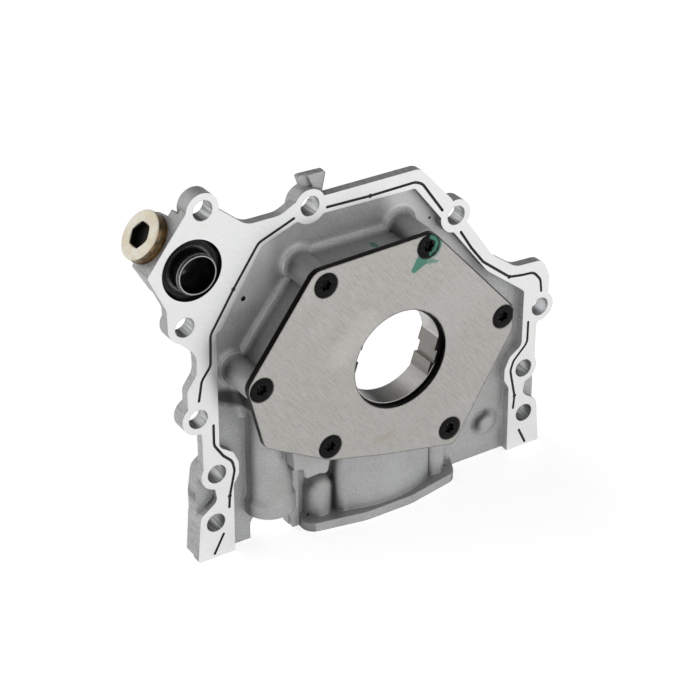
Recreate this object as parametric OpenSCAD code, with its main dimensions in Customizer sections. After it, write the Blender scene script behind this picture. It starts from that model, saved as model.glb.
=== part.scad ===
// Crankshaft-driven gerotor oil pump with a cast housing that bolts to the front of an engine block.
// Millimetres. X runs to the right as seen from the engine, Z up, and Y into the pump from its mating face.
// The origin is the crankshaft axis in the plane of the mating face.

/* [Mating flange] */
// Thickness of the flange lip between the bolt bosses
lip_t = 3.6; // [2.5:0.1:6]
// Depth of the bolt bosses behind the mating face
boss_t = 6; // [4:0.5:9]
// Depth of the foot and waist bosses behind the mating face
foot_t = 9.5; // [7:0.5:14]
// Radius of the metal round each bolt hole
boss_r = 5.9; // [5:0.1:7]
// Diameter of the bolt holes
bolt_d = 7; // [5:0.5:8]
// Top left bolt hole, across and up
bolt_top_left = [-65.6, 67.7]; // [-80:0.1:80]
// Left bolt hole, across and up
bolt_left = [-73.7, 28.2]; // [-80:0.1:80]
// Top bolt hole, across and up
bolt_top = [-26.3, 58.7]; // [-80:0.1:80]
// Top right bolt hole, across and up
bolt_right = [31.9, 39.5]; // [-80:0.1:80]
// Side bolt hole of each side, across and up
bolt_side = [70.25, -7.65]; // [-80:0.1:80]
// Waist bolt hole of each side, across and up
bolt_waist = [64.1, -31.5]; // [-80:0.1:80]
// Foot bolt hole of each side, across and up
bolt_foot = [65.2, -51]; // [-80:0.1:80]
// Height of the feet's underside below the crankshaft axis
foot_drop = 65.4; // [62:0.1:70]
// Depth of the sealant grooves
groove_t = 0.5; // [0.2:0.1:1]
// Width of the sealant grooves
groove_w = 1; // [0.5:0.1:1.4]

/* [Housing] */
// Depth of the recessed floor behind the mating face
floor_y = 3.5; // [2.5:0.1:5]
// Thickness of the recessed floor
floor_t = 3.5; // [2.5:0.1:6]
// Height of the rotor housing's top face in front of the mating face
housing_rise = 12.2; // [10:0.1:16]
// Thickness of the wall round the rotor pocket
pocket_wall = 3.3; // [2.6:0.1:3.6]
// Radius of the metal round each cover screw
lobe_r = 5.2; // [4:0.1:6]
// Radius of the cast fillet at the foot of the housing wall
cove_r = 3; // [1:0.1:4]

/* [Rotors] */
// Radius of the outer rotor's lobe circle, as a multiple of the offset between the rotor axes
circle_ratio = 11; // [10.8:0.1:11.4]
// Number of lobes on the outer rotor
outer_lobes = 9; // [8:1:10]
// Radius of each outer rotor lobe, as a share of the lobe circle's radius
lobe_share = 0.2606; // [0.24:0.0001:0.262]
// Clearance between the teeth of the two rotors
tooth_gap = 0.12; // [0.08:0.01:0.2]
// Thickness of the outer rotor's wall behind its tooth spaces
outer_wall = 2.9; // [2.5:0.1:3.1]
// Length of both rotors along the crankshaft
rotor_t = 10; // [8:0.1:12]
// Clearance at each end face of the rotors
end_gap = 0.08; // [0.04:0.01:0.15]
// Clearance round the outer rotor in its pocket
pocket_gap = 0.08; // [0.04:0.01:0.1]
// Radius of the inner rotor's bore
drive_r = 17.4; // [16.5:0.1:18]
// Thickness of metal between the inner rotor's bore and its tooth roots
rotor_wall = 4; // [3.5:0.1:4.5]
// Distance of each drive flat from the crankshaft axis
drive_flat = 15.5; // [15:0.1:16]
// Turn of the drive flats about the crankshaft axis
drive_turn = 18; // [-30:1:30]
// Width of the slot in each drive flat
drive_slot_w = 4.5; // [3:0.1:6]
// Depth of the slot in each drive flat
drive_slot_t = 1.3; // [0.8:0.1:1.6]

/* [Cover plate] */
// Thickness of the cover plate
plate_t = 2.4; // [2:0.1:3.5]
// Distance from the inner rotor's bore to the edge of the cover plate's hole
plate_hole_gap = 1; // [0.4:0.1:2]
// Diameter of the cover screws' thread
screw_d = 5; // [4:0.5:5.5]
// Diameter of the cover screws' heads
screw_head_d = 9; // [8:0.1:9.5]
// Length of the cover screws
screw_l = 14; // [10:0.5:15]
// Turn of the cover screw at the top left about the rotor pocket
screw_top_left_turn = 131.2; // [-180:0.1:180]
// Distance of the cover screw at the top left from the pocket wall
screw_top_left_gap = 15.7; // [5:0.1:30]
// Turn of the cover screw at the top right about the rotor pocket
screw_top_right_turn = 79.4; // [-180:0.1:180]
// Distance of the cover screw at the top right from the pocket wall
screw_top_right_gap = 7.1; // [5:0.1:30]
// Turn of the cover screw at the right about the rotor pocket
screw_right_turn = 5.2; // [-180:0.1:180]
// Distance of the cover screw at the right from the pocket wall
screw_right_gap = 6.2; // [5:0.1:30]
// Turn of the cover screw at the lower right about the rotor pocket
screw_low_right_turn = -62.5; // [-180:0.1:180]
// Distance of the cover screw at the lower right from the pocket wall
screw_low_right_gap = 5.6; // [5:0.1:30]
// Turn of the cover screw at the lower left about the rotor pocket
screw_low_left_turn = -141.1; // [-180:0.1:180]
// Distance of the cover screw at the lower left from the pocket wall
screw_low_left_gap = 6.5; // [5:0.1:30]
// Turn of the cover screw at the left about the rotor pocket
screw_left_turn = 174.2; // [-180:0.1:180]
// Distance of the cover screw at the left from the pocket wall
screw_left_gap = 24; // [5:0.1:30]

/* [Crankshaft passage] */
// Radius of the seal bore in the hidden side
seal_r = 31; // [28:0.5:33]
// Length of the seal bore
seal_l = 8; // [6:0.5:9]
// Distance from the inner rotor's bore to the wall of the passage at the pocket floor
passage_gap = 1.4; // [0.6:0.1:2]
// Thickness of the wall round the seal bore
seal_wall = 5; // [3:0.5:7]

/* [Ports] */
// Depth of the kidney ports in the pocket floor
kidney_t = 2.6; // [2:0.1:3]
// Outlet port, across and up
port_at = [-70.15, 47.75]; // [-75:0.05:50]
// Radius of the outlet port's recess
port_r = 10.8; // [10:0.1:11.4]
// Depth of the outlet port's recess
port_t = 4.3; // [4:0.1:4.4]
// Radius of the discharge gallery
gallery_r = 3.9; // [3:0.1:4]
// Depth of the discharge gallery's axis behind the mating face
gallery_y = 10; // [9.8:0.1:12]
// Radius of the suction duct
suction_r = 8; // [6:0.1:8.5]
// Depth of the suction duct's axis behind the mating face
suction_y = 3.5; // [2.5:0.1:5]
// Distance between the two threaded holes of the suction flange
suction_bolt_span = 49; // [46:0.5:52]
// Diameter of the suction flange's tapped holes
suction_bolt_d = 5; // [4:0.1:6]
// Thickness of the suction flange
suction_lip_t = 3.5; // [2:0.1:5]

/* [Gallery plug] */
// Diameter of the gallery plug's head
plug_head_d = 17.2; // [15:0.1:18]
// Height of the gallery plug's head
plug_head_t = 2.6; // [2:0.1:4]
// Diameter of the gallery plug's thread
plug_d = 10; // [8:0.5:10.2]
// Length of the gallery plug's thread
plug_l = 8; // [5:0.5:9]
// Width across the flats of the gallery plug's socket
plug_socket = 8; // [5:0.5:8]
// Depth of the gallery plug's socket
plug_socket_t = 3.2; // [2:0.1:3.5]
// Turn of the gallery plug's socket about its axis
plug_socket_turn = 30; // [0:1:60]
// Thickness of the sealing washer
washer_t = 1.45; // [1:0.05:2]

/* [Outlet sleeve] */
// Outside diameter of the outlet sleeve
sleeve_d = 14.5; // [13:0.1:16]
// Wall thickness of the outlet sleeve
sleeve_wall = 1; // [0.6:0.1:1.5]
// Width of the outlet sleeve's foot inside the sealing ring
sleeve_foot_w = 0.95; // [0.5:0.05:1.2]
// Distance that the outlet sleeve stands out in front of the mating face
sleeve_proud = 3.8; // [1:0.1:6]
// Depth of the sealing ring's face behind the mating face
ring_sunk = 2; // [0.5:0.1:2.6]

/* [Relief valve] */
// Relief valve bore, across, and its depth behind the mating face
relief_at = [-43, 2]; // [-45:0.1:5]
// Diameter of the relief valve bore
relief_d = 11.6; // [10:0.1:12]
// Outside radius of the relief valve tube
relief_tube_r = 8.2; // [7.9:0.1:9]
// Height of the relief valve's seat above the crankshaft axis
relief_seat_z = -13; // [-16:0.5:-10]
// Length of the relief piston
piston_l = 18; // [14:0.5:20]
// Clearance round the relief piston
piston_gap = 0.04; // [0.02:0.01:0.08]
// Travel of the relief piston
piston_travel = 8; // [4:0.5:9]
// Diameter of the relief spring's wire
spring_wire = 1.3; // [0.9:0.1:1.5]
// Number of turns of the relief spring
spring_turns = 8; // [5:1:9]
// Thickness of the spring seat
seat_t = 2.2; // [1.5:0.1:3]
// Thickness of the retaining ring
ring_t = 1; // [0.8:0.1:1.2]
// Height of the relief tube's lower end below the crankshaft axis
relief_drop = 53; // [50:0.5:56]

/* [Hidden] */
$fn = 64;
cut = 0.5;

lobe_circle_r = (drive_r + rotor_wall) / (1 - lobe_share - 1 / circle_ratio);
lobe_round_r = lobe_share * lobe_circle_r;
eccentricity = lobe_circle_r / circle_ratio;
plate_hole_r = drive_r + plate_hole_gap;
passage_r = drive_r + passage_gap;
plate_back_y = -housing_rise;
plate_front_y = plate_back_y - plate_t;
pocket_t = rotor_t + 2 * end_gap;
pocket_floor_y = plate_back_y + pocket_t;
floor_back_y = floor_y + floor_t;
outer_root_r = lobe_circle_r - lobe_round_r + 2 * eccentricity + 2 * tooth_gap;
outer_r = outer_root_r + outer_wall;
pocket_r = outer_r + pocket_gap;
function screw_at(turn, gap) = [eccentricity, 0] + (pocket_r + gap) * [cos(turn), sin(turn)];
screws = [screw_at(screw_top_left_turn, screw_top_left_gap),
    screw_at(screw_top_right_turn, screw_top_right_gap),
    screw_at(screw_right_turn, screw_right_gap), screw_at(screw_low_right_turn, screw_low_right_gap),
    screw_at(screw_low_left_turn, screw_low_left_gap), screw_at(screw_left_turn, screw_left_gap)];
inner_root_r = lobe_circle_r - lobe_round_r - eccentricity;
seal_floor_y = floor_y;
seal_mouth_y = seal_floor_y + seal_l;
plug_axis = [-0.787, 0.617];
plug_seat = [-79.8, 57.4];
relief_floor_z = -relief_drop;

function unit(v) = v / norm(v);
function turned(v) = [-v[1], v[0]];
function flat(p) = [p[0], p[1]];

// Points of one corner at b between a and c, rounded to r where its sides are long enough
function corner(a, b, c, r, steps) =
    let (u = unit(flat(a) - flat(b)), v = unit(flat(c) - flat(b)),
        cross = u[0] * v[1] - u[1] * v[0],
        half = acos(max(-1, min(1, u * v))) / 2,
        reach = 0.48 * min(norm(flat(a) - flat(b)), norm(flat(c) - flat(b))),
        fit_r = max(0.05, min(r, reach * tan(half))),
        hub = flat(b) + unit(u + v) * fit_r / sin(half),
        start = flat(b) + u * fit_r / tan(half) - hub,
        sweep = (cross > 0 ? 1 : -1) * (180 - 2 * half))
    [for (i = [0 : steps])
        let (t = -sweep * i / steps)
        hub + [start[0] * cos(t) - start[1] * sin(t), start[0] * sin(t) + start[1] * cos(t)]];

// Outline through a clockwise list of [across, up, corner radius]
function outline(corners, steps = 6) =
    let (n = len(corners))
    [for (i = [0 : n - 1])
        each corner(corners[(i + n - 1) % n], corners[i], corners[(i + 1) % n], corners[i][2], steps)];

// Corners given as [cover screw, offset across, offset up, corner radius]
function at_screws(corners) = [for (c = corners) [screws[c[0]][0] + c[1], screws[c[0]][1] + c[2], c[3]]];

function mirrored(corners) = [for (i = [len(corners) - 1 : -1 : 0])
    [-corners[i][0], corners[i][1], corners[i][2]]];

// An open path with its bends rounded
function rounded(path, r, steps = 4) =
    let (n = len(path))
    concat([path[0]], [for (i = [1 : n - 2]) each corner(path[i - 1], path[i], path[i + 1], r, steps)],
        [path[n - 1]]);

// Both edges of a strip of constant width along a path
function side_at(path, i) =
    let (n = len(path), before = unit(path[max(i, 1)] - path[max(i, 1) - 1]),
        after = unit(path[min(i, n - 2) + 1] - path[min(i, n - 2)]),
        along = unit(before + after))
    turned(along) / max(0.5, along * after);
function strip(path, w) = concat(
    [for (i = [0 : len(path) - 1]) path[i] + side_at(path, i) * w / 2],
    [for (i = [len(path) - 1 : -1 : 0]) path[i] - side_at(path, i) * w / 2]);

// A flat outline drawn across and up, given a depth from one plane to another
module slab(from_y, to_y)
    rotate([90, 0, 0]) translate([0, 0, -to_y]) linear_extrude(to_y - from_y) children();
// A round bar or hole along the crankshaft's direction
module bar(at, r, from_y, to_y)
    translate([at[0], from_y, at[1]]) rotate([-90, 0, 0]) cylinder(r = r, h = to_y - from_y);
// A frame at the plug's seat whose Z axis points out of the plug's socket
module at_plug() translate([plug_seat[0], gallery_y, plug_seat[1]])
    rotate([0, atan2(plug_axis[0], plug_axis[1]), 0]) children();

// Outer edge of the flange, clockwise from the left foot
low_edge = [[-72.6, -foot_drop, 1], [-70.9, -47.2, 2.5], [-64.2, -42.4, 3], [-65, -37.5, 2], [-69.1, -33, 2],
    [-69.1, -14, 3], [-73.9, -10, 3], [-73.9, 4, 4]];
top_edge = [[-70, 9.5, 5], [-70, 17, 6], [-79.7, 26.5, 4], [-79.8, 36, 6], [-86, 49.4, 0.8], [-71.3, 68.3, 1],
    [-64, 70, 2], [-58.5, 65.5, 5], [-50, 58.4, 8], [-37.5, 58.4, 8], [-31.5, 61.5, 3], [-18, 61, 3],
    [16.8, 61, 5], [29.6, 46.6, 3], [36.6, 36, 2], [48, 19.6, 14], [58.5, 12, 8], [70.8, 11.4, 5]];
outer_edge = concat(low_edge, top_edge, mirrored(low_edge));
// Inner edge of the flange, clockwise from the left foot
low_opening = [[-58.2, -foot_drop - 4, 0.5], [-57.8, -38, 2], [-55.6, -34.2, 3], [-55.6, -29.5, 3],
    [-57.6, -25, 3], [-62.8, -21.4, 3]];
top_opening = [[-62.4, 22.6, 1], [-60.4, 23.4, 1.5], [-46.4, 46.8, 3], [-44.6, 49.4, 3], [-32, 54.2, 2],
    [-20, 54.8, 2], [14.8, 54.2, 2], [26.2, 39.5, 2], [28.5, 33.9, 1], [31, 33.4, 1.5], [46, 14, 14],
    [60.8, 2.6, 3], [62.8, 0.8, 1.5]];
inner_edge = concat(low_opening, top_opening, mirrored(low_opening));

// Outline of the cover plate round its screws
plate_edge = at_screws([[0, -4.1, 6, 5], [1, 2.2, 4.6, 4], [2, 4.4, 2.8, 3], [2, 4.2, -6.2, 5],
    [3, 2.1, -7.3, 3], [4, 21.2, -10.8, 30], [4, -0.4, -5.3, 8], [5, 0.7, -22.8, 5], [5, -5.3, 1.8, 5]]);
// Front of the housing where it stands out below the cover plate
chin_edge = at_screws([[4, -13.8, 7.2, 2], [4, -12.7, -6.7, 1], [4, -9.2, -7.2, 1], [4, -8.4, -11.4, 1.2],
    [4, -2.8, -11, 3], [4, 0.2, -12.2, 1.5], [4, 1.2, -7.3, 2], [4, 2.2, 1.2, 1]]);
// Wall of the rotor housing, set back under the cover plate
wall_edge = at_screws([[0, 1.5, 3.4, 4], [1, 1.1, 0.5, 4], [2, 0.7, 1.6, 3], [2, 0.6, -5.3, 3],
    [3, 0.3, -3.3, 3], [4, 22.3, -7.3, 20], [4, 1, -1.9, 6], [5, 3.8, -20.3, 3], [5, -1.1, -0.3, 3]]);

single_bolts = [bolt_top_left, bolt_left, bolt_top, bolt_right];
function both(p) = [[-p[0], p[1]], p];
all_bolts = concat(single_bolts, both(bolt_side), both(bolt_waist), both(bolt_foot));

grooves = [
    [[-32.5, 55.9], [-45.8, 50.8], [-55.5, 36.8], [-64.5, 22.5], [-64.9, 11.1], [-68.4, 6.4], [-69.7, -0.8]],
    [[-19.8, 56.6], [-3.1, 56.2], [14.8, 56.5], [17.7, 55.1], [26.1, 43]],
    [[34.1, 32.5], [38.9, 24.9], [44.1, 18.1], [55.9, 8.7], [61.5, 7.8], [66.7, 7.4], [69.9, 3.6],
        [70.5, -1.2]],
    [[65.3, -12.6], [65.3, -21.1], [59.4, -27], [58.2, -30.9], [60.6, -42.2], [60.2, -47.3]],
    [[-64.7, -12], [-64.8, -19.8], [-61.5, -25], [-58.1, -28.4], [-57.3, -32.3], [-59.5, -42.1],
        [-59.8, -46.5]],
    [[-62.4, -56.7], [-66.1, -63.6]],
    [[63.4, -58], [66.3, -64]]];
groove_nubs = [[-55.5, 36.8], [-3.1, 56.2], [55.9, 8.7], [60.6, -42.2], [-59.5, -42.1]];

// Extra radius of the two bosses that bulge into the opening
boss_bulge = 0.4;
module flange_edge() {
    difference() {
        union() {
            polygon(outline(outer_edge));
            for (p = all_bolts) translate(p) circle(boss_r);
        }
        difference() {
            polygon(outline(inner_edge));
            for (p = [bolt_top, bolt_right]) translate(p) circle(boss_r + boss_bulge);
        }
    }
}

module flange() {
    slab(0, lip_t) flange_edge();
    for (p = single_bolts) bar(p, boss_r, cut, boss_t);
    for (p = both(bolt_side)) bar(p, boss_r, cut, boss_t);
    for (s = [-1, 1]) {
        slab(lip_t - cut, foot_t) polygon(outline(foot_edge(s)));
        slab(lip_t - cut, foot_t - 1) polygon(outline(waist_edge(s)));
    }
}
function ordered(corners, s) = s < 0 ? corners : mirrored(corners);
function foot_edge(s) = ordered([[-72, -foot_drop, 1], [-70.6, -47.6, 3], [-66, -44.6, 3], [-59, -46, 3],
    [-58.6, -foot_drop, 1]], s);
function waist_edge(s) = ordered([[-71, -49, 1], [-71, -40, 2], [-69.6, -30, 4], [-64, -25.8, 4],
    [-58.4, -29, 3], [-58.4, -49, 1]], s);

module floor_pan() {
    slab(floor_y, floor_back_y) difference() {
        polygon(outline(floor_edge));
        polygon(outline(notch_edge));
    }
}
floor_edge = concat(
    [[-59.5, -foot_drop, 1], [-59.5, -40, 3], [-58, -26, 3], [-65.4, -18, 3], [-65.2, 24.5, 3], [-50, 50, 4],
    [-45.5, 53.5, 4], [-32, 57.6, 4], [15.5, 57.4, 4], [28.8, 41, 3], [48, 17.6, 12], [65.4, 4, 3],
    [65.4, -18, 3], [58, -26, 3], [59.5, -40, 3], [59.5, -foot_drop, 1]]);
notch_edge = [[-50, -foot_drop - 2, 0.1], [-50, -56, 4], [-34.5, -56, 4], [-34.5, -foot_drop - 2, 0.1]];

// Rotor housing under the cover plate, with a cast fillet at the foot of its wall
module housing() {
    slab(plate_back_y, floor_y + cut) {
        polygon(outline(wall_edge));
        polygon(outline(chin_edge));
        translate([eccentricity, 0]) circle(pocket_r + pocket_wall);
        for (p = screws) translate(p) circle(lobe_r);
    }
    n = len(wall_edge);
    for (i = [0 : n - 1]) cove_straight(wall_edge[i], wall_edge[(i + 1) % n]);
    for (p = screws) cove_round(p, lobe_r);
}
// Height and reach of the points on a cast fillet
cove_points = concat([for (i = [0 : 5]) let (a = 18 * i) cove_r * [1 - sin(a), 1 - cos(a)]],
    [[-0.3, cove_r], [-0.3, -0.8], [cove_r, -0.8]]);
module cove_straight(a, b) {
    run = b - a;
    translate([a[0], floor_y, a[1]]) rotate([0, -atan2(run[1], run[0]), 0]) rotate([90, 0, 90])
        linear_extrude(norm([run[0], run[1]])) polygon([for (p = cove_points) [-p[0], p[1]]]);
}
module cove_round(at, r) {
    translate([at[0], floor_y, at[1]]) rotate([90, 0, 0])
        rotate_extrude() polygon([for (p = cove_points) [r + p[1], p[0]]]);
}

// Body of the discharge gallery, from the plug's seat to the discharge chamber
plug_boss_r = 9.2;
plug_boss_l = 16;
gallery_wall = 2.3;
port_wall = 2.2;
corner_back_y = 10.4;
corner_step_y = 7.5;
chamber_r = 4.1;
chamber_lift = pocket_r + pocket_wall + chamber_r - 1.6;
plug_side = turned(plug_axis) * -1;
plug_offset = plug_seat * plug_side;
plug_run = plug_seat * plug_axis - chamber_lift;
chamber_ends = [chamber_lift * plug_axis + (plug_offset + 6) * plug_side,
    chamber_lift * plug_axis + (plug_offset - 9) * plug_side];
chamber_back_y = gallery_y + gallery_r + 0.6;
// Step by which a flat side stays inside the round ends that it joins
side_step = 0.02;
module gallery_metal() {
    at_plug() translate([0, 0, -plug_boss_l]) cylinder(r = plug_boss_r, h = plug_boss_l);
    at_plug() translate([0, 0, -plug_run]) cylinder(r = gallery_r + gallery_wall, h = plug_run - 4);
    slab(cut, corner_back_y) polygon(outline(corner_edge));
    slab(cut, corner_step_y) polygon(outline(corner_step_edge));
    bar(port_at, port_r + port_wall, cut, gallery_y);
    slab(floor_y + cut, chamber_back_y + 2.6) chamber_shape(chamber_r + 3);
}
module chamber_shape(r) {
    for (p = chamber_ends) translate(p) circle(r);
    polygon(strip(chamber_ends, 2 * (r - side_step)));
}
corner_edge = [[-79.6, 38, 3], [-86, 49.4, 0.4], [-76.5, 61.6, 0.4], [-68, 60, 3], [-60, 47, 4],
    [-66, 38, 4]];
corner_step_edge = [[-79.6, 38, 3], [-86, 49.4, 0.4], [-72.4, 66.9, 0.4], [-66, 62, 3], [-60, 47, 4],
    [-66, 38, 4]];

// Relief valve tube and the collar at its lower end
module relief_metal() {
    translate([relief_at[0], relief_at[1], relief_floor_z]) {
        cylinder(r = relief_tube_r, h = relief_drop + 10);
        cylinder(r = collar_r, h = collar_h);
        translate([0, 0, collar_h]) cylinder(r1 = collar_r, r2 = relief_tube_r, h = collar_slope_h);
    }
    translate([relief_at[0] + collar_r - 0.4, relief_at[1] - 1, -foot_drop])
        cube([fin_w, floor_back_y - relief_at[1] + 1, fin_h]);
}
collar_r = relief_tube_r + 1;
collar_h = 4.6;
collar_slope_h = 2.4;
fin_w = 2.6;
fin_h = 24;

// Suction duct, its apron and the flange that the pick-up bolts to
module suction_metal() {
    translate([0, 0, -foot_drop]) linear_extrude(suction_lip_t) polygon(outline(lip_edge));
    translate([0, suction_y, -foot_drop]) cylinder(r = suction_r + 3, h = duct_top_z + foot_drop + 3);
    intersection() {
        translate([apron_x, apron_front_y + apron_r, -foot_drop])
            cylinder(r = apron_r, h = apron_h, $fn = 128);
        translate([apron_left + apron_corner_r, apron_front_y - 1, -foot_drop])
            cube([apron_w - apron_corner_r, floor_y + cut - apron_front_y + 1, apron_h]);
    }
    translate([apron_left + apron_corner_r, apron_corner_y, -foot_drop])
        cylinder(r = apron_corner_r, h = apron_h);
    translate([apron_left, apron_corner_y, -foot_drop])
        cube([apron_corner_r + cut, floor_y + cut - apron_corner_y, apron_h]);
    translate([suction_bolt_span / 2, column_y, -foot_drop]) cylinder(r = column_r, h = column_h);
    translate([dome_x, column_y, -foot_drop]) {
        cylinder(r = column_r, h = dome_h);
        translate([0, 0, dome_h]) sphere(r = column_r);
    }
}
// The apron is the curved front wall over the suction duct
apron_x = 1;
apron_front_y = -7.6;
apron_r = 42;
apron_left = -18.5;
apron_w = 39;
apron_h = 36;
apron_corner_r = 3.6;
apron_corner_x = apron_left + apron_corner_r - apron_x;
apron_corner_y = apron_front_y + apron_r - sqrt(pow(apron_r, 2) - pow(apron_corner_x, 2))
    + apron_corner_r - 0.1;
lip_edge = [[-31.8, floor_y + 1, 0.1], [-31.8, -5.2, 5], [-10, -9.5, 20], [9, -9.5, 20], [30.4, -5.4, 5],
    [35.2, floor_y + 1, 0.1]];
column_r = 5.5;
column_y = 2.6;
column_h = 34;
dome_x = 1.2 - suction_bolt_span / 2;
dome_h = 13.7;
duct_top_z = -36;

module hidden_side() {
    bar([0, 0], seal_r + seal_wall, floor_y, seal_mouth_y);
    for (a = [-28, 8, 75, 172, 208]) rib(a);
}
module rib(a) {
    translate([0, floor_back_y - cut, 0]) rotate([0, -a, 0]) translate([seal_r + 2, 0, -rib_w / 2])
        cube([rib_reach, rib_h + cut, rib_w]);
}
rib_reach = 20;
rib_w = 3.2;
rib_h = 2.9;

// Cast mound on the recessed floor
module mound() {
    ball_r = (pow(mound_r, 2) + pow(mound_rise, 2)) / (2 * mound_rise);
    intersection() {
        translate([mound_at[0], floor_y - mound_rise + ball_r, mound_at[1]]) sphere(r = ball_r);
        slab(floor_y - mound_rise - cut, floor_y + cut) translate(mound_at) circle(2 * mound_r);
    }
}
mound_at = [49.5, -51.4];
mound_r = 5.7;
mound_rise = 2.3;

// Cast lug behind the top bolt hole, with a thicker wedge at its right
module lug() {
    slab(lip_t - cut, boss_t - 0.6) translate(bolt_top)
        polygon([[-2.7, 9.6], [-1.6, 10], [7.2, 9.7], [7.9, 8.8], [6.4, 2], [0, 2], [-1.9, 7.1]]);
    slab(lug_wedge_y, lip_t) translate(bolt_top)
        polygon([[0.2, 10.1], [6.3, 10], [7, 9.2], [5.7, 3.6], [2.2, 5.6]]);
}
lug_wedge_y = 2;

module pump_body() {
    color([0.66, 0.67, 0.67]) difference() {
        union() {
            flange();
            floor_pan();
            housing();
            gallery_metal();
            relief_metal();
            suction_metal();
            hidden_side();
            mound();
            lug();
        }
        body_holes();
    }
}

module body_holes() {
    for (p = all_bolts) bar(p, bolt_d / 2, -2, foot_t + 12);
    for (p = screws) bar(p, screw_d / 2, plate_back_y - cut, plate_front_y + screw_l + 1);
    bar([eccentricity, 0], pocket_r, plate_back_y - cut, pocket_floor_y);
    bar([0, 0], passage_r, plate_back_y - cut, seal_mouth_y);
    passage_cone();
    bar([0, 0], seal_r, seal_floor_y, seal_mouth_y + cut);
    ports();
    relief_bore();
    for (g = grooves) {
        slab(-cut, groove_t) polygon(strip(rounded(g, groove_bend_r), groove_w));
        for (p = [g[0], g[len(g) - 1]]) bar(p, groove_w / 2 + side_step, -cut, groove_t);
    }
    for (p = groove_nubs) bar(p, 0.8 * groove_w, -cut, groove_t);
    for (s = [-1, 1]) translate([s * suction_bolt_span / 2, column_y, -foot_drop - cut])
        cylinder(d = suction_bolt_d, h = suction_bolt_l + cut);
    bar(pit_at, pit_r, floor_y - cut, floor_y + pit_t);
}
suction_bolt_l = 14;
groove_bend_r = 4;
// Small pit in the recessed floor
pit_at = [-50, 30];
pit_r = 0.9;
pit_t = 2;

module passage_cone() {
    wall = seal_floor_y - pocket_floor_y;
    translate([0, pocket_floor_y + passage_land, 0]) rotate([-90, 0, 0])
        cylinder(r1 = passage_r, r2 = passage_r + wall, h = wall);
}
passage_land = 0.8;
// Kidney ports in the pocket floor and the passages that feed them
module kidney(from_a, to_a) {
    inner = inner_root_r + kidney_inner_land;
    outer = outer_root_r - kidney_outer_land;
    n = 16;
    arc_out = [for (i = [0 : n]) let (a = from_a + (to_a - from_a) * i / n) outer * [cos(a), sin(a)]];
    arc_in = [for (i = [n : -1 : 0]) let (a = from_a + (to_a - from_a) * i / n) inner * [cos(a), sin(a)]];
    slab(pocket_floor_y - cut, pocket_floor_y + kidney_t) translate([eccentricity / 2, 0])
        polygon(concat(arc_out, arc_in));
}
kidney_inner_land = 1.6;
kidney_outer_land = 0.6;
duct_start_r = 0.86 * outer_root_r;
outlet_way_w = 12;
module ports() {
    kidney(14, 160);
    kidney(200, 346);
    slab(plate_back_y + 3, chamber_back_y) chamber_shape(chamber_r);
    slab(pocket_floor_y - cut, pocket_floor_y + kidney_t) {
        polygon(strip([duct_start_r * plug_axis, chamber_lift * plug_axis], outlet_way_w));
        polygon(strip([[0, -duct_start_r], [0, duct_top_z - 5]], 2 * suction_r + 2));
    }
    bar(port_at, port_r, -cut, port_t);
    bar(port_at, sleeve_d / 2 - sleeve_wall, port_t - cut, gallery_y);
    at_plug() {
        translate([0, 0, -plug_run]) cylinder(r = gallery_r, h = plug_run);
        translate([0, 0, -plug_l - 1]) cylinder(d = plug_d, h = plug_l + 1 + cut);
    }
    translate([0, suction_y, -foot_drop - cut]) cylinder(r = suction_r, h = duct_top_z + foot_drop + cut);
}

module relief_bore() {
    translate([relief_at[0], relief_at[1], relief_floor_z]) {
        translate([0, 0, -cut]) cylinder(d = relief_d, h = relief_seat_z - relief_floor_z + cut);
        cylinder(r = feed_r, h = feed_top_z - relief_floor_z);
        translate([0, 0, ring_z - relief_floor_z - 0.05]) cylinder(d = relief_d + 1.2, h = ring_t + 0.1);
    }
    translate([relief_at[0], pocket_floor_y - cut, relief_seat_z - spill_drop - spill_h])
        cube([spill_l, kidney_t + cut, spill_h]);
}
spill_l = 24;
feed_r = 3.5;
feed_top_z = 13;
spill_drop = piston_travel / 2;
spill_h = 5;
ring_z = relief_floor_z + 1.6;
seat_z = ring_z + ring_t;

module cover_plate() {
    color([0.62, 0.6, 0.57]) difference() {
        slab(plate_front_y, plate_back_y) polygon(outline(plate_edge));
        bar([0, 0], plate_hole_r, plate_front_y - cut, plate_back_y + cut);
        for (p = screws) {
            bar(p, screw_d / 2 + screw_hole_gap, plate_front_y - cut, plate_back_y + cut);
            translate([p[0], plate_front_y - cut, p[1]]) rotate([-90, 0, 0])
                cylinder(r1 = screw_head_d / 2 + 0.05 + cut, r2 = screw_d / 2 + 0.2, h = head_t + cut - 0.15);
        }
    }
}
screw_hole_gap = 0.25;
head_t = (screw_head_d - screw_d) / 2;

module cover_screw(i) {
    color([0.1, 0.1, 0.1]) translate([screws[i][0], plate_front_y + 0.02, screws[i][1]]) rotate([-90, 0, 0])
    difference() {
        union() {
            cylinder(r1 = screw_head_d / 2, r2 = screw_d / 2, h = head_t);
            cylinder(d = screw_d - 0.06, h = screw_l);
        }
        for (k = [0 : 2]) rotate([0, 0, 60 * k]) translate([-recess_r, -recess_lobe_w / 2, -cut])
            cube([2 * recess_r, recess_lobe_w, recess_t + cut]);
    }
}
recess_r = 2.4;
recess_lobe_w = 1.6;
recess_t = 1.7;

// One point of the inner rotor, which rolls inside the outer rotor's lobes
function inner_point(t) =
    let (z = outer_lobes, r = lobe_circle_r, q = lobe_round_r + tooth_gap, e = eccentricity,
        lean = atan2(sin((1 - z) * t), r / (e * z) - cos((1 - z) * t)))
    [r * cos(t) - q * cos(t + lean) - e * cos(z * t), -r * sin(t) + q * sin(t + lean) + e * sin(z * t)];

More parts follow.
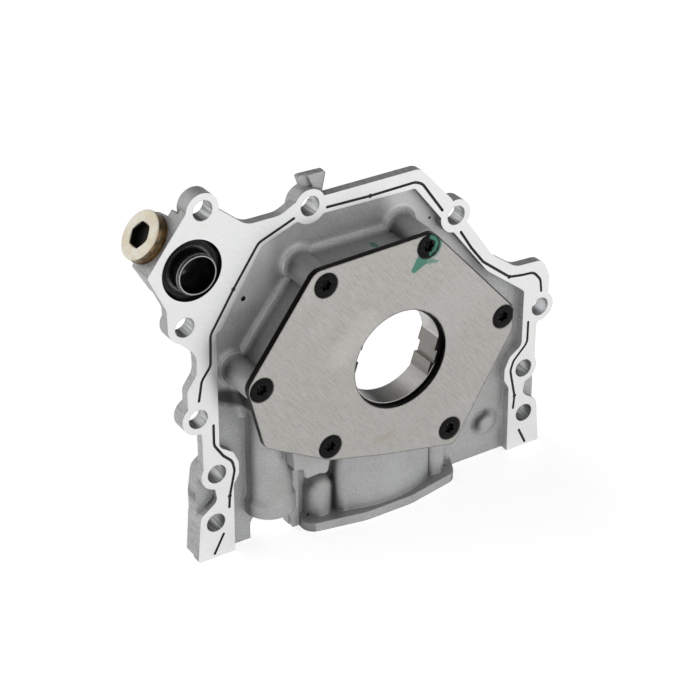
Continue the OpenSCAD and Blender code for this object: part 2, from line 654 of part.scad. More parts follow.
module inner_rotor() {
    teeth = outer_lobes - 1;
    points = 26;
    color([0.5, 0.5, 0.5]) difference() {
        slab(plate_back_y + end_gap, pocket_floor_y - end_gap)
            polygon([for (k = [0 : teeth - 1]) for (i = [0 : points - 1])
                let (s = 2 * i / points - 1) inner_point(-(360 * k + 180 * s * abs(s)) / teeth)]);
        slab(plate_back_y - cut, pocket_floor_y + cut) drive_hole();
    }
}
module drive_hole() {
    rotate(-drive_turn) difference() {
        circle(drive_r, $fn = 96);
        for (s = [-1, 1]) difference() {
            translate([s * (drive_flat + 5), 0]) square([10, 3 * drive_r], center = true);
            translate([s * (drive_flat + drive_slot_t / 2), 0])
                square([drive_slot_t + 0.01, drive_slot_w], center = true);
        }
    }
}

module outer_rotor() {
    color([0.42, 0.42, 0.43]) difference() {
        bar([eccentricity, 0], outer_r, plate_back_y + end_gap, pocket_floor_y - end_gap);
        slab(plate_back_y - cut, pocket_floor_y + cut) difference() {
            translate([eccentricity, 0]) circle(outer_root_r, $fn = 96);
            for (k = [0 : outer_lobes - 1]) translate([eccentricity, 0]) rotate(180 + 360 * k / outer_lobes)
                translate([lobe_circle_r, 0]) circle(lobe_round_r, $fn = 64);
        }
    }
}

module gallery_plug() {
    color([0.86, 0.83, 0.7]) at_plug() difference() {
        union() {
            translate([0, 0, washer_t]) cylinder(d = plug_head_d, h = plug_head_t);
            translate([0, 0, -plug_l]) cylinder(d = plug_d - 0.06, h = plug_l + washer_t + cut);
        }
        translate([0, 0, washer_t + plug_head_t - plug_socket_t]) rotate(plug_socket_turn)
            cylinder(d = plug_socket / cos(30), h = plug_socket_t + cut, $fn = 6);
    }
}
module plug_washer() {
    color([0.5, 0.38, 0.27]) at_plug() difference() {
        cylinder(d = plug_head_d, h = washer_t);
        translate([0, 0, -cut]) cylinder(d = plug_d + 0.1, h = washer_t + 2 * cut);
    }
}

module outlet_sleeve() {
    color([0.7, 0.7, 0.68]) difference() {
        union() {
            bar(port_at, sleeve_d / 2, -sleeve_proud, port_t);
            bar(port_at, sleeve_foot_r, ring_sunk, port_t);
        }
        bar(port_at, sleeve_d / 2 - sleeve_wall, -sleeve_proud - cut, port_t + cut);
    }
}
sleeve_foot_r = sleeve_d / 2 + sleeve_foot_w;

// Rubber ring with one raised lip and two flats on its rim
module outlet_seal() {
    lip_r = (port_r + sleeve_foot_r) / 2;
    color([0.08, 0.08, 0.09]) difference() {
        union() {
            bar(port_at, port_r - 0.02, ring_sunk, port_t);
            bar(port_at, lip_r + ring_lip_w / 2, ring_sunk - ring_lip_h, port_t);
        }
        bar(port_at, lip_r - ring_lip_w / 2, ring_sunk - cut, ring_sunk);
        bar(port_at, sleeve_foot_r, ring_sunk - 2 * cut, port_t + cut);
        for (s = [0, 180]) translate([port_at[0], 0, port_at[1]]) rotate([0, -ring_flat_turn - s, 0])
            translate([port_r - ring_flat_t, -cut, -port_r]) cube([4, port_t + 2 * cut, 2 * port_r]);
    }
}
ring_lip_w = 1;
ring_lip_h = 0.35;
ring_flat_t = 1;
ring_flat_turn = 40;

module relief_piston() {
    r = relief_d / 2 - piston_gap;
    color([0.6, 0.6, 0.6]) translate([relief_at[0], relief_at[1], relief_seat_z - piston_l - 0.05])
    difference() {
        cylinder(r = r, h = piston_l);
        translate([0, 0, -cut]) cylinder(r = piston_cup_r, h = piston_l - piston_crown_t + cut);
    }
}
piston_crown_t = 3;
piston_cup_r = relief_d / 2 - 1.5;
spring_r = piston_cup_r - 0.3 - spring_wire / 2;

module relief_spring() {
    low = seat_z + seat_t;
    high = relief_seat_z - piston_crown_t - 0.05;
    steps = 16;
    rings = spring_turns * steps;
    sides = 8;
    rise = high - low - spring_wire - 0.1;
    color([0.55, 0.55, 0.56]) translate([relief_at[0], relief_at[1], low + 0.05 + spring_wire / 2])
        coil(spring_r, rise, spring_wire / 2, rings, steps, sides);
}
module coil(r, rise, wire, rings, steps, sides) {
    spots = [for (i = [0 : rings]) for (k = [0 : sides - 1])
        let (a = 360 * i / steps, b = 360 * k / sides, q = r + wire * cos(b))
        [q * cos(a), q * sin(a), rise * coil_climb(i / rings) + wire * sin(b)]];
    faces = concat([[for (k = [0 : sides - 1]) k]],
        [for (i = [0 : rings - 1]) for (k = [0 : sides - 1])
            each let (j = (k + 1) % sides, p = i * sides, q = p + sides)
                [[p + k, q + k, p + j], [q + k, q + j, p + j]]],
        [[for (k = [sides - 1 : -1 : 0]) rings * sides + k]]);
    polyhedron(spots, faces);
}
// Climb of the coil from 0 to 1, nearly level over its first and last turn
function coil_climb(t) = let (d = 1 / spring_turns) t < d ? 0.25 * t : t > 1 - d ? 1 - 0.25 * (1 - t)
    : 0.25 * d + (1 - 0.5 * d) * (t - d) / (1 - 2 * d);

module spring_seat() {
    color([0.6, 0.6, 0.58]) translate([relief_at[0], relief_at[1], seat_z]) difference() {
        cylinder(d = relief_d - 0.1, h = seat_t);
        translate([0, 0, -cut]) cylinder(r = seat_vent_r, h = seat_t + 2 * cut);
    }
}
seat_vent_r = 2;
module retaining_ring() {
    color([0.25, 0.25, 0.26]) translate([relief_at[0], relief_at[1], ring_z]) difference() {
        cylinder(d = relief_d + 1, h = ring_t);
        translate([0, 0, -cut]) cylinder(d = relief_d - 2 * ring_w, h = ring_t + 2 * cut);
        translate([0, -ring_opening / 2, -cut]) cube([relief_d, ring_opening, ring_t + 2 * cut]);
    }
}
ring_w = 1.2;
ring_opening = 3.6;

pump_body();
cover_plate();
cover_screw(0);  // cover_screw_1
cover_screw(1);  // cover_screw_2
cover_screw(2);  // cover_screw_3
cover_screw(3);  // cover_screw_4
cover_screw(4);  // cover_screw_5
cover_screw(5);  // cover_screw_6
inner_rotor();
outer_rotor();
gallery_plug();
plug_washer();
outlet_sleeve();
outlet_seal();
relief_piston();
relief_spring();
spring_seat();
retaining_ring();
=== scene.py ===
# %% [markdown]
# # An engine oil pump
# The pump is a cast aluminium housing with milled faces, a ground steel cover held by six black screws, and
# two rotors of sintered steel behind it. The shapes come from the CAD model. Blender adds what a caster, a
# grinder and a plater leave behind: grain, scratches, stains, threads and soft edges.

# %% Load the CAD model
import math
import bmesh
import bpy
from mathutils import Matrix, Vector


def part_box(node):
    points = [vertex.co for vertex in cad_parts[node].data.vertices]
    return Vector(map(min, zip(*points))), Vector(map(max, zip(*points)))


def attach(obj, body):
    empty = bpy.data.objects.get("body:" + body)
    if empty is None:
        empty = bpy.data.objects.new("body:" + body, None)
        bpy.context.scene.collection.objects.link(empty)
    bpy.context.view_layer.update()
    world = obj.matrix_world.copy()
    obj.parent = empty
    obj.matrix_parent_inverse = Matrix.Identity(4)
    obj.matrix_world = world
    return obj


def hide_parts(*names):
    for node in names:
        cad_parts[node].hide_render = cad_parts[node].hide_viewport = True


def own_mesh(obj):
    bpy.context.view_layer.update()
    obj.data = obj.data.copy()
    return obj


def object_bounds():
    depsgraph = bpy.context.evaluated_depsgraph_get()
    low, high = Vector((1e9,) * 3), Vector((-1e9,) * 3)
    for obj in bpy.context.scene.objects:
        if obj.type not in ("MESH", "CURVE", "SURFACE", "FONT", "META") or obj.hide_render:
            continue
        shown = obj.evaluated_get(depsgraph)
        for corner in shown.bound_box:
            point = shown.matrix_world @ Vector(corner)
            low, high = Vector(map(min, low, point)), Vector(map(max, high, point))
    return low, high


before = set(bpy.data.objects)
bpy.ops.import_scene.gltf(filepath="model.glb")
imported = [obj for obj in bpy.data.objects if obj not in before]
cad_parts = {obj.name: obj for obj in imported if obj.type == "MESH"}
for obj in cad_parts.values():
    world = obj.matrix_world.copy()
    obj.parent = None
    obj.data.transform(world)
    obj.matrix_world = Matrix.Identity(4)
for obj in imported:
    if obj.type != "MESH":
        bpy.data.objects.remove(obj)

cad_box = [list(corner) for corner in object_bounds()]
print("CAD nodes:", len(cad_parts))

# %% [markdown]
# ## The camera
# The camera was solved from the ten bolt holes of the mating face, six of which stand in mirrored pairs. A
# long lens stands 0.7 m away, so the pump shows little perspective.

# %% Set the camera
camera_data = bpy.data.cameras.new("product_camera")
camera_data.lens = 106.49
camera_data.sensor_width = 36
camera_data.clip_start = 0.01
camera = bpy.data.objects.new("product_camera", camera_data)
bpy.context.scene.collection.objects.link(camera)
camera_right = Vector((0.8416, -0.5401, 0.0)).normalized()
camera_back = Vector((-0.4654, -0.7252, 0.5074)).normalized()
camera_up = camera_back.cross(camera_right)
camera_place = (-0.33885, -0.51085, 0.35743)
camera_turn = Matrix((camera_right, camera_up, camera_back)).transposed()
camera.matrix_world = Matrix.Translation(camera_place) @ camera_turn.to_4x4()
bpy.context.scene.camera = camera
bpy.context.scene.view_settings.view_transform = "Standard"
print("camera", [round(v, 4) for v in camera.location])

# %% [markdown]
# ## Wiring helpers
# A shader or a Geometry Nodes tree is a small circuit. These helpers add one node each and wire it at once,
# so that a material below reads like a recipe. An input may be a number, a colour or the socket of another
# node.

# %% Helpers for nodes
def wire(tree, kind, inputs=None, **settings):
    made = tree.nodes.new(kind)
    for name, value in settings.items():
        setattr(made, name, value)
    for name, value in (inputs or {}).items():
        if isinstance(value, bpy.types.NodeSocket):
            tree.links.new(value, made.inputs[name])
        else:
            made.inputs[name].default_value = value
    return made


def calc(tree, operation, *values):
    return wire(tree, "ShaderNodeMath", dict(enumerate(values)), operation=operation).outputs[0]


def total(tree, operation, values):
    result = values[0]
    for value in values[1:]:
        result = calc(tree, operation, result, value)
    return result


def fade(tree, value, low, high, start=0.0, end=1.0):
    inputs = {"Value": value, "From Min": low, "From Max": high, "To Min": start, "To Max": end}
    return wire(tree, "ShaderNodeMapRange", inputs, interpolation_type="SMOOTHSTEP").outputs[0]


def band(tree, value, low, high, soft):
    rise, fall = fade(tree, value, low - soft, low), fade(tree, value, high, high + soft, 1, 0)
    return calc(tree, "MULTIPLY", rise, fall)


def tint(red, green, blue):
    parts = [v / 255 for v in (red, green, blue)]
    return [v / 12.92 if v <= 0.04045 else ((v + 0.055) / 1.055) ** 2.4 for v in parts] + [1.0]


def blend(tree, share, first, second):
    return wire(tree, "ShaderNodeMix", {0: share, 6: first, 7: second}, data_type="RGBA").outputs[2]


# %% [markdown]
# Every pattern is placed in millimetres of the pump itself. Object coordinates give metres, and multiplying
# them by a thousand lets a scratch or a bolt hole be placed with the numbers of a drawing. A Mapping node
# of the Texture kind turns a pattern first and stretches it afterwards, which is how a scratch gets both
# its length and its direction.

# %% A material with places in millimetres
class Finish:
    def __init__(self, name):
        self.material = bpy.data.materials.new(name)
        self.material.use_nodes = True
        self.tree = self.material.node_tree
        self.shader = self.tree.nodes["Principled BSDF"]
        coordinates = self.tree.nodes.new("ShaderNodeTexCoord")
        metres = {0: coordinates.outputs["Object"], "Scale": 1000.0}
        self.place = wire(self.tree, "ShaderNodeVectorMath", metres, operation="SCALE").outputs[0]
        self.x, self.y, self.z = wire(self.tree, "ShaderNodeSeparateXYZ", {0: self.place}).outputs
        normal = coordinates.outputs["Normal"]
        self.nx, self.ny, self.nz = wire(self.tree, "ShaderNodeSeparateXYZ", {0: normal}).outputs

    def noise(self, size, detail=2.0, roughness=0.5, stretch=(1, 1, 1), turn=0, shift=(0, 0, 0)):
        angles = (0, math.radians(turn), 0)
        moves = {"Vector": self.place, "Location": shift, "Rotation": angles, "Scale": stretch}
        mapping = wire(self.tree, "ShaderNodeMapping", moves, vector_type="TEXTURE")
        inputs = {"Vector": mapping.outputs[0], "Scale": 1.0 / size, "Detail": detail, "Roughness": roughness}
        return wire(self.tree, "ShaderNodeTexNoise", inputs).outputs[0]

    def from_axis(self, centre, x=None):
        across = calc(self.tree, "SUBTRACT", self.x if x is None else x, centre[0])
        up = calc(self.tree, "SUBTRACT", self.z, centre[1])
        return self.length(across, up)

    def length(self, across, up):
        squares = [calc(self.tree, "MULTIPLY", v, v) for v in (across, up)]
        return calc(self.tree, "SQRT", calc(self.tree, "ADD", *squares))

    def ring(self, centre, radius):
        return calc(self.tree, "ABSOLUTE", calc(self.tree, "SUBTRACT", self.from_axis(centre), radius))

    def stroke(self, start, end, start_width, end_width):
        t = self.tree
        run = (end[0] - start[0], end[1] - start[1])
        size = run[0] ** 2 + run[1] ** 2
        across, up = calc(t, "SUBTRACT", self.x, start[0]), calc(t, "SUBTRACT", self.z, start[1])
        share = calc(t, "ADD", calc(t, "MULTIPLY", across, run[0] / size),
                     calc(t, "MULTIPLY", up, run[1] / size))
        share = wire(t, "ShaderNodeClamp", {0: share}).outputs[0]
        aside = self.length(calc(t, "SUBTRACT", across, calc(t, "MULTIPLY", share, run[0])),
                            calc(t, "SUBTRACT", up, calc(t, "MULTIPLY", share, run[1])))
        width = calc(t, "MULTIPLY_ADD", share, end_width - start_width, start_width)
        return calc(t, "SUBTRACT", aside, width)

    def open_air(self, reach_mm, samples, **settings):
        settings["samples"] = samples
        reach = {"Distance": reach_mm / 1000}
        return wire(self.tree, "ShaderNodeAmbientOcclusion", reach, **settings).outputs["AO"]

    def bevel(self, radius_mm, samples=4):
        return wire(self.tree, "ShaderNodeBevel", {"Radius": radius_mm / 1000}, samples=samples).outputs[0]

    def true_normal(self):
        return wire(self.tree, "ShaderNodeNewGeometry").outputs["True Normal"]

    def edges(self, rounded, sharpest=0.8):
        normals = {0: rounded, 1: self.true_normal()}
        same = wire(self.tree, "ShaderNodeVectorMath", normals, operation="DOT_PRODUCT").outputs["Value"]
        return fade(self.tree, same, sharpest, 0.99, 1, 0)

    def coat(self, color, *layers):
        for share, layer in layers:
            color = blend(self.tree, share, color, layer)
        return color

    def bump(self, height, depth_mm, normal=None):
        inputs = {"Height": height, "Distance": depth_mm / 1000, "Strength": 1.0}
        if normal is not None:
            inputs["Normal"] = normal
        return wire(self.tree, "ShaderNodeBump", inputs).outputs[0]

    def set(self, **values):
        names = {"color": "Base Color", "metal": "Metallic", "rough": "Roughness", "normal": "Normal",
                 "specular": "Specular IOR Level"}
        for name, value in values.items():
            socket = self.shader.inputs[names[name]]
            if isinstance(value, bpy.types.NodeSocket):
                self.tree.links.new(value, socket)
            else:
                socket.default_value = value
        return self.material


# %% [markdown]
# ## The cast housing
# Die-cast aluminium has a grey, grainy skin with soft edges. The faces that seal or carry bolts are milled
# afterwards and look almost white. One material does both: masks find the milled faces by their depth and
# direction, as the cutter did. The Bevel node rounds the cast edges in the shading alone.

# %% Find the milled faces
bolt_holes = [(-65.6, 67.7), (-73.7, 28.2), (-26.3, 58.7), (31.9, 39.5)]
paired_holes = [(70.25, -7.65), (64.1, -31.5), (65.2, -51.0)]
port_centre = (-70.15, 47.75)
seal_bore_radius = 31.0


def near_bolt_hole(f):
    mirrored = calc(f.tree, "ABSOLUTE", f.x)
    centres = [(c, None) for c in bolt_holes] + [(c, mirrored) for c in paired_holes]
    return total(f.tree, "MINIMUM", [f.from_axis(centre, x) for centre, x in centres])


def milled_masks(f, near, front):
    t = f.tree
    back, below = fade(t, f.ny, 0.94, 0.99), fade(t, f.nz, -0.99, -0.94, 1, 0)
    joint_face = calc(t, "MULTIPLY", front, band(t, f.y, -0.1, 0.1, 0.1))
    bores = fade(t, near, 3.55, 3.7, 1, 0)
    spots = total(t, "MULTIPLY", [fade(t, near, 5.6, 5.8, 1, 0), back, band(t, f.y, 3.5, 9.6, 0.2)])
    foot_faces = calc(t, "MULTIPLY", below, fade(t, f.z, -65.3, -65.1, 1, 0))
    in_seal_bore = fade(t, f.from_axis((0, 0)), seal_bore_radius + 0.1, seal_bore_radius + 0.3, 1, 0)
    seal_bore = calc(t, "MULTIPLY", in_seal_bore, fade(t, f.y, 2, 2.5))
    return bores, total(t, "MAXIMUM", [joint_face, bores, spots, foot_faces, seal_bore])


# %% [markdown]
# The cast skin is built in layers: a fine grain, broad clouds, a few dark pores and paler edges, which are
# partly wear and partly a painted highlight. A small mound on the right of the floor gets a soft arc of
# painted shade at its side, and two parts of the floor and one rim get painted light, so they are brighter
# than the rest.

# %% Masks for the skin, its painted shade and its painted light
mound_centre = (49.5, -51.4)
shade_centre, shade_radius = (49.2, -51.3), 3.7
# soot darkens the pores and is also the colour of the painted shade on the walls; near_black is the painted
# shade of three corners.
soot_and_shade, near_black = tint(34, 34, 33), tint(26, 26, 24)


def pores(f, cast):
    t = f.tree
    cells = wire(t, "ShaderNodeTexVoronoi", {"Vector": f.place, "Scale": 1 / 5.5, "Randomness": 1.0})
    chosen = fade(t, wire(t, "ShaderNodeSeparateColor", {0: cells.outputs["Color"]}).outputs[0], 0.8, 0.82)
    return total(t, "MULTIPLY", [fade(t, cells.outputs["Distance"], 0.024, 0.045, 1, 0), chosen, cast])


# A soft arc of painted shade at the upper left of the mound.
def mound_shade(f, peel):
    t = f.tree
    aside = calc(t, "ADD", calc(t, "MULTIPLY", calc(t, "SUBTRACT", f.x, shade_centre[0]), -0.75),
                 calc(t, "MULTIPLY", calc(t, "SUBTRACT", f.z, shade_centre[1]), 0.66))
    ring = calc(t, "MULTIPLY_ADD", peel, 1.2, f.ring(shade_centre, shade_radius))
    return total(t, "MULTIPLY", [fade(t, ring, 0.6, 3.2, 0.9, 0), fade(t, aside, -1.5, 3.2),
                                 band(t, f.y, 1.0, 3.6, 0.3)])


# Painted light: two parts of the floor and the inner side of the right rim are made brighter.
def painted_light_patches(f, front, mound):
    t = f.tree
    left = calc(t, "MULTIPLY", fade(t, f.x, -42, -36, 1, 0), fade(t, f.z, 24, 30, 0, 0.45))
    right = calc(t, "MULTIPLY", fade(t, f.x, 2, 10), fade(t, f.z, 12, 24, 0, 0.6))
    floor = total(t, "MULTIPLY", [calc(t, "MAXIMUM", left, right), front, band(t, f.y, 3.3, 3.7, 0.1)])
    rim = total(t, "MULTIPLY", [fade(t, f.x, 30, 40), fade(t, f.nx, -0.5, -0.2, 0.45, 0),
                                band(t, f.y, 0.1, 3.4, 0.1), fade(t, mound, 7, 8)])
    return calc(t, "MAXIMUM", floor, rim)


def side_streaks(f):
    t = f.tree
    return total(t, "MULTIPLY", [fade(t, f.noise(1.3, 3, 0.65, stretch=(1, 6, 1)), 0.46, 0.7, 0, 0.35),
                                 band(t, f.ny, -0.3, 0.3, 0.1), fade(t, f.y, 0, 0.5)])


# %% [markdown]
# Ambient Occlusion finds the corners and walls where little light gets, and the skin there is painted
# darker as shade; the walls of these hollows, except those facing down, get more painted shade. The foot of
# the housing wall carries a pale line where the mould's fillet meets the floor, a painted highlight. Three
# corners that the light hardly reaches are painted dark as shade, and one short bright dash stands low on
# the front.

# %% Masks for painted shade, the painted foot highlight and dark corners
# Painted shade on the walls of the hollows, strongest where little air gets.
def painted_wall_shade(f, air):
    t = f.tree
    return total(t, "MULTIPLY", [fade(t, f.x, 30, 42, 1, 0.25), band(t, f.ny, -0.85, 0.5, 0.14),
                                 fade(t, air, 0.45, 0.85, 0.76, 0), fade(t, f.nz, -0.3, 0.1),
                                 fade(t, f.nz, 0.5, 0.9, 1, 0.4), fade(t, f.y, -0.5, 2, 1, 0)])


# A pale wavy line at the top of the wall's foot fillet: a painted highlight.
def painted_foot_highlight(f, mound):
    t = f.tree
    waver = calc(t, "MULTIPLY_ADD", f.noise(6, 2, 0.5), 1.2, calc(t, "SUBTRACT", f.y, 0.6))
    broken = fade(t, f.noise(7, 2, 0.5, shift=(5, 0, 3)), 0.36, 0.6, 0.1, 0.7)
    return total(t, "MULTIPLY", [band(t, waver, 2.2, 2.4, 0.14), band(t, f.ny, -0.93, -0.2, 0.05), broken,
                                 fade(t, mound, 7, 8)])


# Painted shade in three corners that the light hardly reaches.
def dark_corners(f, peel):
    t = f.tree
    corner = f.stroke((-62, -3.6), (-52.5, -6.6), 1.5, 2.6)
    corner = calc(t, "MULTIPLY_ADD", f.noise(2.5, 2, 0.5), 1.6, corner)
    corner = calc(t, "MULTIPLY", fade(t, corner, 0.2, 2.8, 0.88, 0), band(t, f.y, -11.6, 3.6, 1))
    nook = calc(t, "MULTIPLY_ADD", peel, 2.0, f.stroke((-58, -5), (-54, -12.5), 2.4, 0.8))
    nook = total(t, "MULTIPLY", [fade(t, nook, 0.5, 4.0, 0.5, 0), fade(t, f.nx, -0.6, -0.4, 1, 0),
                                 band(t, f.y, -12, 3.6, 1)])
    notch = calc(t, "MULTIPLY_ADD", peel, 2.0, f.stroke((-68.5, -40.5), (-64, -44), 1.2, 1.2))
    notch = total(t, "MULTIPLY", [fade(t, notch, 0.8, 4.2, 0.75, 0), band(t, f.ny, -0.5, 0.5, 0.1),
                                  fade(t, f.y, 0.5, 3)])
    return total(t, "MAXIMUM", [corner, nook, notch])


def raised_dash(f):
    t = f.tree
    dash = f.stroke((-15.6, -53.1), (-9.4, -56.3), 0.06, 0.1)
    return calc(t, "MULTIPLY", fade(t, dash, 0.0, 0.15, 1, 0), fade(t, f.y, -5.0, -4.0, 1, 0))


# %% [markdown]
# A cutter leaves the milled faces bright, with fine marks in one direction, and a drill leaves the bores
# streaked along their length; the bores are painted darker further in, as shade. The sealant grooves, the
# port under the rubber ring and two casting pits are painted near black as shade, and a little green paint
# has run onto the top of the housing.

# %% Masks and colours for what the tools left, and painted shade in the hollows
def milled_metal(f):
    t = f.tree
    lay = f.noise(0.3, 2, 0.55, stretch=(14, 1, 1), turn=38)
    smudge = f.noise(19, 3, 0.6, shift=(0, 0, 17))
    bright = blend(t, fade(t, lay, 0.3, 0.7), tint(218, 219, 220), tint(226, 226, 226))
    return blend(t, fade(t, smudge, 0.5, 0.78, 0, 0.35), bright, tint(216, 213, 204))


def drilled_metal_with_depth_shade(f):
    t = f.tree
    streak = f.noise(0.8, 2, 0.5, stretch=(1, 14, 1))
    drilled = blend(t, fade(t, streak, 0.36, 0.64), tint(140, 141, 142), tint(190, 191, 192))
    # Deeper in the bore the colour is painted darker, as shade.
    return blend(t, fade(t, f.y, 1, 9, 0, 0.45), drilled, tint(70, 70, 70))


# The grooves are painted near black as shade; Ambient Occlusion finds their walls.
def sealant_groove_shade(f, front, near):
    t = f.tree
    covered = fade(t, f.open_air(1.2, 6, only_local=True), 0.8, 0.95, 1, 0)
    floor = calc(t, "MULTIPLY", front, band(t, f.y, 0.35, 0.65, 0.1))
    wall = total(t, "MULTIPLY", [band(t, f.ny, -0.5, 0.5, 0.1), band(t, f.y, -0.1, 0.55, 0.05), covered,
                                 fade(t, near, 3.7, 3.8)])
    return calc(t, "MAXIMUM", floor, wall)


# The port and the seat under the rubber ring are painted near black as shade.
def painted_port_shade(f):
    t = f.tree
    away = f.from_axis(port_centre)
    seat = calc(t, "MULTIPLY", fade(t, away, 10.85, 11.0, 1, 0), band(t, f.y, 0.3, 4.4, 0.2))
    bore = calc(t, "MULTIPLY", fade(t, away, 6.3, 6.4, 1, 0), band(t, f.y, 0.3, 9, 0.5))
    return calc(t, "MAXIMUM", seat, bore)


# Both pits are painted near black as shade.
def casting_pits(f):
    t = f.tree
    large = calc(t, "MULTIPLY", fade(t, f.from_axis((-50, 30)), 1.0, 1.1, 1, 0), band(t, f.y, 3.7, 5, 0.15))
    small = calc(t, "MULTIPLY", fade(t, f.from_axis((23.3, 39.5)), 0.45, 0.6, 1, 0), band(t, f.y, 3, 4, 0.1))
    return calc(t, "MAXIMUM", large, small)


def paint_run(f):
    t = f.tree
    away = f.length(calc(t, "ADD", f.x, 4.6), calc(t, "MULTIPLY", calc(t, "ADD", f.y, 4.6), 0.6))
    ragged = calc(t, "ADD", away, calc(t, "MULTIPLY", f.noise(1.6, 2, 0.5), 0.9))
    return total(t, "MULTIPLY", [fade(t, ragged, 1.5, 1.8, 0.85, 0), fade(t, f.nz, 0.6, 0.7),
                                 fade(t, f.z, 20, 21)])


# %% [markdown]
# The recipe lays the coats over each other, the cast skin first and the milled metal over it. Cast parts
# are a little less metallic and rougher than cut ones, and only they are grainy. The large bevel is kept
# for the mound.

# %% Make the cast aluminium
cast_rough, milled_rough = 0.52, 0.3
skin_depth_mm = 0.085


def cast_aluminium():
    f = Finish("cast_and_milled_aluminium")
    t = f.tree
    near, mound, front = near_bolt_hole(f), f.from_axis(mound_centre), fade(t, f.ny, -0.99, -0.94, 1, 0)
    bores, milled = milled_masks(f, near, front)
    cast = calc(t, "SUBTRACT", 1.0, milled)
    rounded = f.bevel(0.8, 6)
    # Paler edges of the cast skin: partly wear and partly a painted highlight.
    painted_edge = total(t, "MULTIPLY", [f.edges(rounded), fade(t, mound, 6, 7), 0.4])
    grain, peel, cloud = f.noise(0.42, 3, 0.65), f.noise(1.9, 2, 0.5), f.noise(14, 3, 0.6)
    pore, air, dash = pores(f, cast), f.open_air(16, 8), raised_dash(f)
    skin = blend(t, fade(t, grain, 0.28, 0.74), tint(167, 168, 169), tint(203, 204, 204))
    # Below, the coat made from Ambient Occlusion darkens the hollows as painted shade.
    skin = f.coat(skin, (fade(t, cloud, 0.3, 0.75, 0.0, 0.45), tint(158, 156, 152)), (pore, soot_and_shade),
                  (painted_edge, tint(208, 208, 206)), (mound_shade(f, peel), tint(44, 44, 42)),
                  (painted_light_patches(f, front, mound), tint(236, 236, 236)), (side_streaks(f), tint(104, 104, 103)),
                  (fade(t, air, 0.1, 0.8, 0.22, 0), tint(36, 36, 35)), (painted_wall_shade(f, air), soot_and_shade),
                  (painted_foot_highlight(f, mound), tint(214, 214, 210)), (dark_corners(f, peel), near_black),
                  (calc(t, "MULTIPLY", dash, 0.65), tint(226, 226, 224)))
    groove, port_shade, pits, paint = sealant_groove_shade(f, front, near), painted_port_shade(f), casting_pits(f), paint_run(f)
    # The grooves, the port and the pits are painted near black as shade.
    color = f.coat(skin, (milled, milled_metal(f)), (bores, drilled_metal_with_depth_shade(f)), (groove, tint(16, 16, 16)),
                   (port_shade, tint(10, 10, 10)), (pits, tint(8, 8, 8)), (paint, tint(62, 128, 108)))
    rough = calc(t, "MULTIPLY_ADD", milled, milled_rough - cast_rough, cast_rough)
    height = calc(t, "ADD", calc(t, "MULTIPLY", grain, 0.6), calc(t, "MULTIPLY", peel, 0.9))
    height = calc(t, "MULTIPLY", calc(t, "SUBTRACT", height, calc(t, "MULTIPLY", pore, 2.5)), cast)
    height = calc(t, "ADD", height, calc(t, "MULTIPLY", dash, 2.0))
    rounded = blend(t, fade(t, mound, 7, 9, 1, 0), rounded, f.bevel(3.0, 6))
    soft = blend(t, milled, rounded, f.true_normal())
    dull = total(t, "MAXIMUM", [port_shade, pits, groove, paint])
    shine = calc(t, "MULTIPLY", calc(t, "SUBTRACT", 1.0, calc(t, "MULTIPLY", cast, 0.45)),
                 calc(t, "SUBTRACT", 1.0, dull))
    return f.set(color=color, metal=shine, rough=rough, normal=f.bump(height, skin_depth_mm, soft))


cast_finish = cast_aluminium()
print("housing finish has", len(cast_finish.node_tree.nodes), "nodes")

# %% [markdown]
# ## The cover plate
# The cover is punched from steel and ground flat. Grinding leaves fine parallel scratches, and handling
# leaves broad soft smears. A green dab of inspector's paint reaches from one screw onto the plate. Each
# stroke of it is a soft capsule, and noise breaks its edge.

# %% Make the ground steel
green = tint(58, 134, 112)
marked_screw = (10.6, 40.3)


def plate_paint(f, front):
    t = f.tree
    bristle = f.noise(0.35, 2, 0.6, stretch=(9, 1, 1), turn=-12)
    dab = calc(t, "ADD", f.stroke((5.0, 32.9), (7.7, 35.4), 1.1, 2.3), calc(t, "MULTIPLY", bristle, 0.8))
    drag = calc(t, "ADD", f.stroke((8.2, 35.2), (13.8, 33.7), 1.7, 0.8), calc(t, "MULTIPLY", bristle, 4.0))
    ring = calc(t, "ADD", f.ring(marked_screw, 4.6), bristle)
    ring = calc(t, "ADD", ring, fade(t, f.x, 10.5, 13, 3, 0))
    paint = total(t, "MAXIMUM", [fade(t, dab, 0.35, 0.65, 0.92, 0), fade(t, drag, 1.6, 2.1, 0.7, 0),
                                 fade(t, ring, 0.9, 1.4, 0.85, 0)])
    return calc(t, "MULTIPLY", paint, front)


